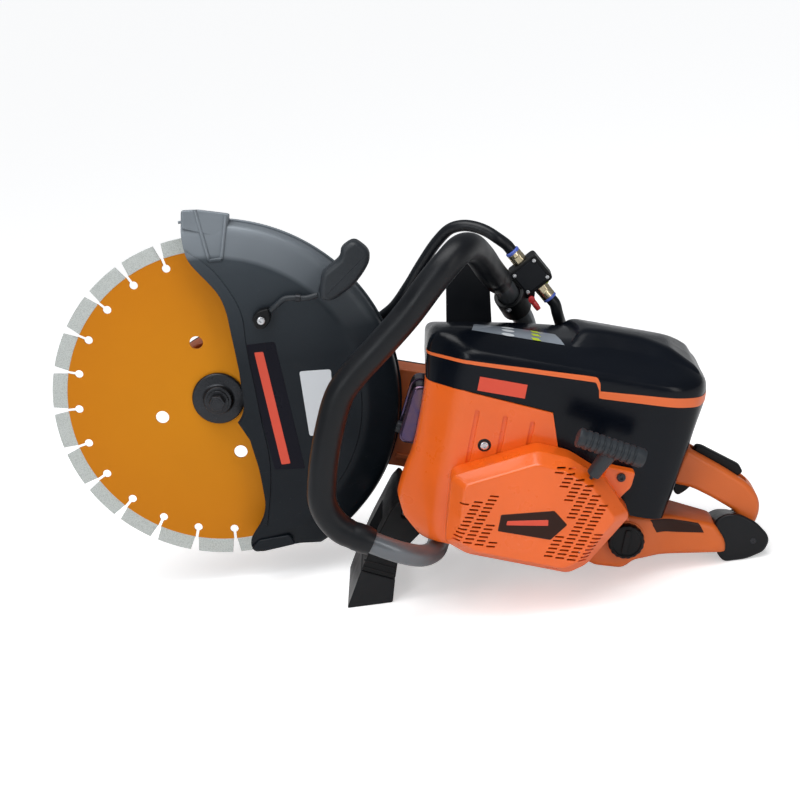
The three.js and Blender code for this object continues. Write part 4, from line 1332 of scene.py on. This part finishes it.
HANDLE_OUTLINE = [
    (473, 66), (515, 51), (548, 37), (560, 24), (563, 10), (560, -6.5), (545, -8.5), (541, 6),
    (512, 17.6), (487, 25.2), (466, 25),
]


def make_rear_handle():
    outline = soften(HANDLE_OUTLINE, 9, 5)
    slot_low = slab([(455, 8), (460, 46), (500, 46), (504, 12)], -104.5, -91.5, 0.5, 1)
    slot_high = slab([(481, 48), (481, 75), (545, 60), (545, 30), (525, 29)], -104.5, -91.5, 0.5, 1)
    piece(
        "rear_handle_loop", slab(outline, -115, -81, 6, 6), "orange_matte", replaces="rear_handle",
        cuts=[slot_low, slot_high],
    )
    trigger = [(470, 26), (471, 40), (480, 43), (494, 40), (492, 26), (486, 17), (479, 10.5), (474, 14)]
    lever = soft_slab(trigger, 3.5, 4, -103.5, -92.5, 2.2)
    piece("throttle_lever", lever, "black", "trigger", "throttle_trigger")
    lock = [(484, 58), (486, 66), (492, 66.5), (534, 53), (539, 47), (533, 40), (490, 54)]
    lever = soft_slab(lock, 2.6, 4, -103.5, -92.5, 2.2)
    piece("trigger_lock_lever", lever, "black", "lock", "trigger_lock")
    switch = rounded_box((500, -80.7, 34), (512, -77, 42), 1.4)
    piece("stop_slider_knob", switch, "red", "stop_slider", "stop_switch")
    knob = [(0, 8.4), (7, 8.4), (7, 9.6), (6.2, 11), (8, 12.5), (8, 17), (7, 18), (0, 18)]
    piece("choke_button", turned(knob, 0.8, 3, (438, 0, 86)), "black", "choke", "choke_knob")


def make_damper():
    outline = [
        (517, -14), (518, 0), (527, 8), (542, 10), (560, 4), (573, -6), (577, -14), (574, -26),
        (558, floor_at(558)), (536, floor_at(536)), (527.5, -37),
    ]
    verts, faces = soft_slab(outline, 5, 4, -126, -66, 4, 4)
    verts = [(x, y, z - 0.28 * (y + 126) * min(1, max(0, (z + 24) / 24))) for x, y, z in verts]
    piece("damper_block", (verts, faces), "rubber", replaces="rear_damper")
    piece("damper_bolt", screw_head((560, -125.8, -16), (0, -1, 0), 3, 0.8), "dark_steel")
    groove = [(8, 0), (17, 0), (17, 3), (8, 3)]
    piece("damper_ring", turned_ring(groove, 0.8, 2, (555, -67.6, -21)), "rubber")


# -- front handle, valve and splash guard --

HANDLE_POINTS = [
    (250, -60, -75), (247, -120, -75), (241, -150, -74), (228, -172, -72), (205, -187, -66),
    (172, -191, -58), (143, -190, -50), (124, -190, -30), (118, -190, 0), (117, -190, 50),
    (121, -190, 85), (131, -190, 107), (150, -190, 138), (171, -190, 174), (188, -190, 209),
    (199, -187, 228), (209, -175, 240), (220, -152, 239), (233, -122, 226), (248, -88, 206),
    (262, -58, 189), (275, -34, 173), (288, -19, 157), (300, -7, 141), (309, 8, 120),
    (315, 26, 97), (316.2, 36, 79), (316.3, 37.5, 61),
]
HANDLE_STEPS = 264  # six for each of the CAD tube's 44
SLEEVE = (54, 210)


def make_front_handle():
    path = spline(HANDLE_POINTS, HANDLE_STEPS)
    piece("handle_tube", sweep(path, 11, 32), "tube", replaces="front_handle")
    first, last = SLEEVE
    sleeve = path[first:last + 1]
    from_end = [min(i, len(sleeve) - 1 - i) for i in range(len(sleeve))]
    radii = [{0: 13.2, 1: 13.7, 6: 13.7, 7: 13.7}.get(i, 14.2) for i in from_end]
    piece("handle_grip_sleeve", sweep(sleeve, radii, 36), "rubber", replaces="handle_sleeve")
    upright = [(208, 192), (254, 188), (270, 122), (222, 119)]
    plate = soft_slab(upright, 6, 4, -9, -6, 0.9)
    foot = rounded_box((222, -8, 119), (269, 4, 122), 0.8)
    piece("splash_plate", joined(plate, foot), "rubber", replaces="splash_guard")


def make_valve():
    corners = [along_valve(a, b) for a, b in ((-16, -17), (16, -17), (16, 17), (-16, 17))]
    outline = soften([(p.x, p.z) for p in corners], 4, 4)
    block = slab(outline, VALVE.y - 12, VALVE.y + 12, 1.6)
    piece("valve_block", block, "black", replaces="valve_body")
    inner = inset(outline, 3.2)
    piece("valve_cover", slab(inner, VALVE.y - 13.4, VALVE.y - 11, 0.8), "cover")
    for i, (a, b) in enumerate(((-11, -12.5), (11, -12.5), (-11, 12.5), (11, 12.5))):
        piece(f"valve_screw_{i + 1}", screw_head(along_valve(a, b, -13.2), (0, -1, 0), 2.1, 1.4), "steel")
    mark = turned([(0, 0), (2.6, 0), (2.6, 1.2), (0, 1.2)], 0.3, 2, along_valve(14.2, -9, -10), (0, -1, 0))
    piece("valve_mark", mark, "dot")
    make_fitting("blade", along_valve(-16.3), along_valve(-31))
    make_fitting("supply", along_valve(16.3), along_valve(34))
    make_valve_lever()
    make_bracket()


def make_fitting(name, start, end):
    """A push-in hose fitting: a six-sided nut, a round collar and a coloured release ring."""
    length = (end - start).length
    axis = (end - start).normalized()

    def nut(angle, reach):
        return reach if reach < 7 else min(reach, 6.9 / math.cos(from_flat(angle)))

    hexagon = turned([(0, 0), (7.6, 0), (7.6, 7), (0, 7)], 0.7, 3, start, axis, nut)
    collar = [(0, 6), (6.6, 6), (7.5, 7.4), (7.5, length - 3), (0, length - 3)]
    body = joined(hexagon, turned(collar, 0.7, 3, start, axis))
    piece(f"fitting_{name}", body, "brass", replaces=f"hose_fitting_{name}")
    release = [(0, length - 3.4), (7.4, length - 3.4), (7.6, length - 0.6), (6.6, length), (0, length)]
    piece(f"fitting_ring_{name}", turned(release, 0.5, 3, start, axis), "blue")


def make_valve_lever():
    pivot = along_valve(19, 14)
    y = VALVE.y - 15.5
    start = Vector((pivot.x, y, pivot.z))
    tip = start + Vector((9, 0, -9))
    shares = [k / 12 for k in range(13)]
    radii = [2.6 + 0.5 * math.sin(share * math.pi) for share in shares]
    arm = sweep([start.lerp(tip, share) for share in shares], radii, 20)
    boss = turned([(0, 0), (3.4, 0), (3.4, 5.5), (0, 5.5)], 0.7, 3, start - Vector((0, 3, 0)))
    piece("valve_lever_arm", joined(arm, boss), "red", "water_lever", "valve_lever")
    stem = rod((pivot.x, y + 3, pivot.z), (pivot.x, VALVE.y - 4, pivot.z), 2, 16)
    neck = rounded_box((pivot.x - 8, VALVE.y - 10, pivot.z - 1), (pivot.x + 3, VALVE.y + 4, pivot.z + 6), 1.2)
    piece("valve_stem", joined(stem, neck), "black")


def make_bracket():
    start, end = Vector((276.5, -34.5, 171.5)), Vector((289, -18, 155.5))
    length = (end - start).length
    collar = turned_ring([(11.8, 0), (16, 0), (16, length), (11.8, length)], 0.9, 3, start, end - start)
    plate = soft_slab([(276, 160), (293, 156), (304, 184), (292, 203), (278, 190)], 4, 4, -11.6, -7, 0.8)
    piece("bracket_clamp", joined(collar, plate), "black", replaces="valve_bracket")
    piece("bracket_screw", screw_head((279, -42, 158), (-0.3, -0.9, -0.3), 3, 2.4), "steel")


# -- engine, arm and belt cover --


def arm_outline():
    return arc((0, 0), 56, 90, 270, 40) + [(203, -52)] + arc((CRANK_X, 0), 60, -80, 80, 40) + [(182, 57)]


def make_arm():
    outline = arm_outline()
    trough = slab(inset(outline, 5), 31, 60, 1, 2)
    hub_hole = lathe([(0, 18), (20.4, 18), (20.4, 36), (0, 36)])
    bell = lathe([(0, 20), (42, 20), (42, 33), (0, 33)], (CRANK_X, 0, 0))
    arm = slab(outline, 26, 56, 2.2, 4)
    piece("arm_casting", arm, "orange_casting", replaces="cutting_arm", cuts=[trough, hub_hole, bell])
    hub = turned_ring([(20.6, 20.5), (29.6, 20.5), (29.6, 30), (20.6, 30)], 0.8, 3)
    piece("arm_hub", hub, "orange_casting")
    ribs = [
        soft_slab([(x0, z0), (x1, z1), (x1, z1 + 5), (x0, z0 + 5)], 1.5, 3, 22.6, 27, 1)
        for x0, z0, x1, z1 in ((196, 34, 268, 34), (196, -42, 268, -42))
    ]
    piece("arm_ribs", joined(*ribs), "orange_casting")
    for i, (x, z) in enumerate(((214, 12), (214, -12), (236, 0))):
        piece(f"arm_bolt_{i + 1}", screw_head((x, 26.2, z), (0, -1, 0), 4.6, 4), "dark_steel")
    fitting = soften([(0, 57.5), (9, 57.5), (9, 63), (7, 63.4), (7, 70), (0, 70)], 0.7, 3, closed=False)
    piece("arm_inlet", lathe(fitting, (142.8, 41, 0), (0, 0, 1)), "brass", replaces="arm_hose_fitting")


def make_belt_cover():
    steps = [
        (0.6, 56.3), (0, 57), (0, 58.6), (1.6, 59.4), (8, 59.6), (9, 60.4), (9.6, 62.8), (11.4, 64.3),
    ]
    ribs = [
        soft_slab([(x, -26), (x + 5, -26), (x + 17, 26), (x + 12, 26)], 2, 3, 62, 65.6, 1.0)
        for x in range(236, 320, 15)
    ]
    piece("belt_cover_shell", stacked(arm_outline(), steps), "cover", replaces="belt_cover", sharp=40)
    piece("belt_cover_ribs", joined(*ribs), "cover")
    panel = soften([(20, -34), (190, -34), (196, 36), (20, 36)], 10, 4)
    piece("belt_cover_panel", stacked(panel, [(0, 64.2), (0.8, 65.0), (3, 65.2)]), "black")
    for i, (x, z) in enumerate(((-49, 13), (190, -48.5), (377, 37), (190, 50)), 1):
        node = f"belt_cover_screw_{i}" if i < 4 else ()
        piece(f"cover_screw_{i}", screw_head((x, 59.4, z), (0, 1, 0), 4.4, 3), "steel", replaces=node)
    bar = rod((70, 61, 46), (120, 61, 44), 2.4, 20)
    piece("belt_tensioner_mark", bar, "steel")


def make_engine():
    fins = []
    for z in (50, 60, 70, 80, 90):
        fins += [(33, z), (42, z + 0.4), (42, z + 3.1), (33, z + 3.5)]
    barrel = [(5.4, 98), (28.3, 98), (28.3, 38), (33, 38)] + fins + [(33, 101), (5.4, 105)]
    piece(
        "cylinder_fins", lathe(barrel, (CRANK_X, CYLINDER_Y, 0), (0, 0, 1), 72, closed=True), "aluminium",
        replaces="cylinder",
    )
    refined("crankcase", "aluminium", 1.2)
    make_muffler()
    refined("carburettor", "aluminium", 1.0)
    refined("air_filter", "foam", 3.0)
    dress("steel", "spark_plug", "crankshaft")
    dress("aluminium", "piston", "flywheel")
    dress("dark_steel", "clutch_hub")
    dress("rubber", "drive_belt")


def make_muffler():
    outline = soften([(187, 22), (193, 84), (244, 84), (244, 22)], 10, 5)
    can = slab(outline, -116, -66, 4, 4)
    seam = stacked(outline, [(0.4, -92.4), (-1.2, -92), (-1.2, -90), (0.4, -89.6)])
    port = rod((243, -75, 62), (285.5, -48, 62), 11, 32)
    shield = [
        rod((188.6 + 0.1 * z, -112, z), (188.6 + 0.1 * z, -70, z), 2.6, 16)
        for z in (32, 40, 48, 56, 64, 72)
    ]
    piece("muffler_can", joined(can, seam, port), "muffler", replaces="muffler")
    piece("muffler_beads", joined(*shield), "muffler")
    outlet = turned_ring([(3.4, 0), (6, 0), (6, 8), (3.4, 8)], 0.8, 3, (192.4, -104, 34), (-1, 0, 0.1))
    piece("muffler_outlet", outlet, "dark_steel")


def make_foot():
    leg = [
        (175, -119.7), (181, -94), (194, -50), (200, -40), (205.4, -44), (205.6, -56.4), (286, -56.4),
        (286, -61), (233, -61), (210, -97), (211, -123.7),
    ]
    window = rounded_box((150, -92, -112), (230, -34, -70), 4)
    piece("foot_leg", soft_slab(leg, 3, 3, -118, -8, 1.6), "black", replaces="stand_foot", cuts=[window])
    pad = [(175, -120), (211, -124), (213, floor_at(213)), (168, floor_at(168))]
    piece("foot_rubber", soft_slab(pad, 2, 3, -118, -8, 1.5), "rubber", replaces="foot_pad")
    ribs = [
        soft_slab([(176, z), (209, z - 3.6), (209, z - 5.2), (176, z - 1.6)], 0.6, 2, -118.9, -117, 0.4, 1)
        for z in (-100, -107, -114)
    ]
    piece("foot_ribs", joined(*ribs), "black")
    piece("foot_bolt", screw_head((190, -118.4, -92), (0, -1, 0), 4.4, 2.6), "steel", replaces="foot_screw")


# -- everything together --

bpy.context.scene.view_settings.view_transform = "Standard"
make_camera()
MATERIALS = make_materials()
make_hoses()
make_lights()
make_floor()
make_blade()
make_guard()
make_top_cover()
make_side_shroud()
make_starter()
make_tank()
make_fuel_cap()
make_rear_handle()
make_damper()
make_front_handle()
make_valve()
make_arm()
make_belt_cover()
make_engine()
make_foot()
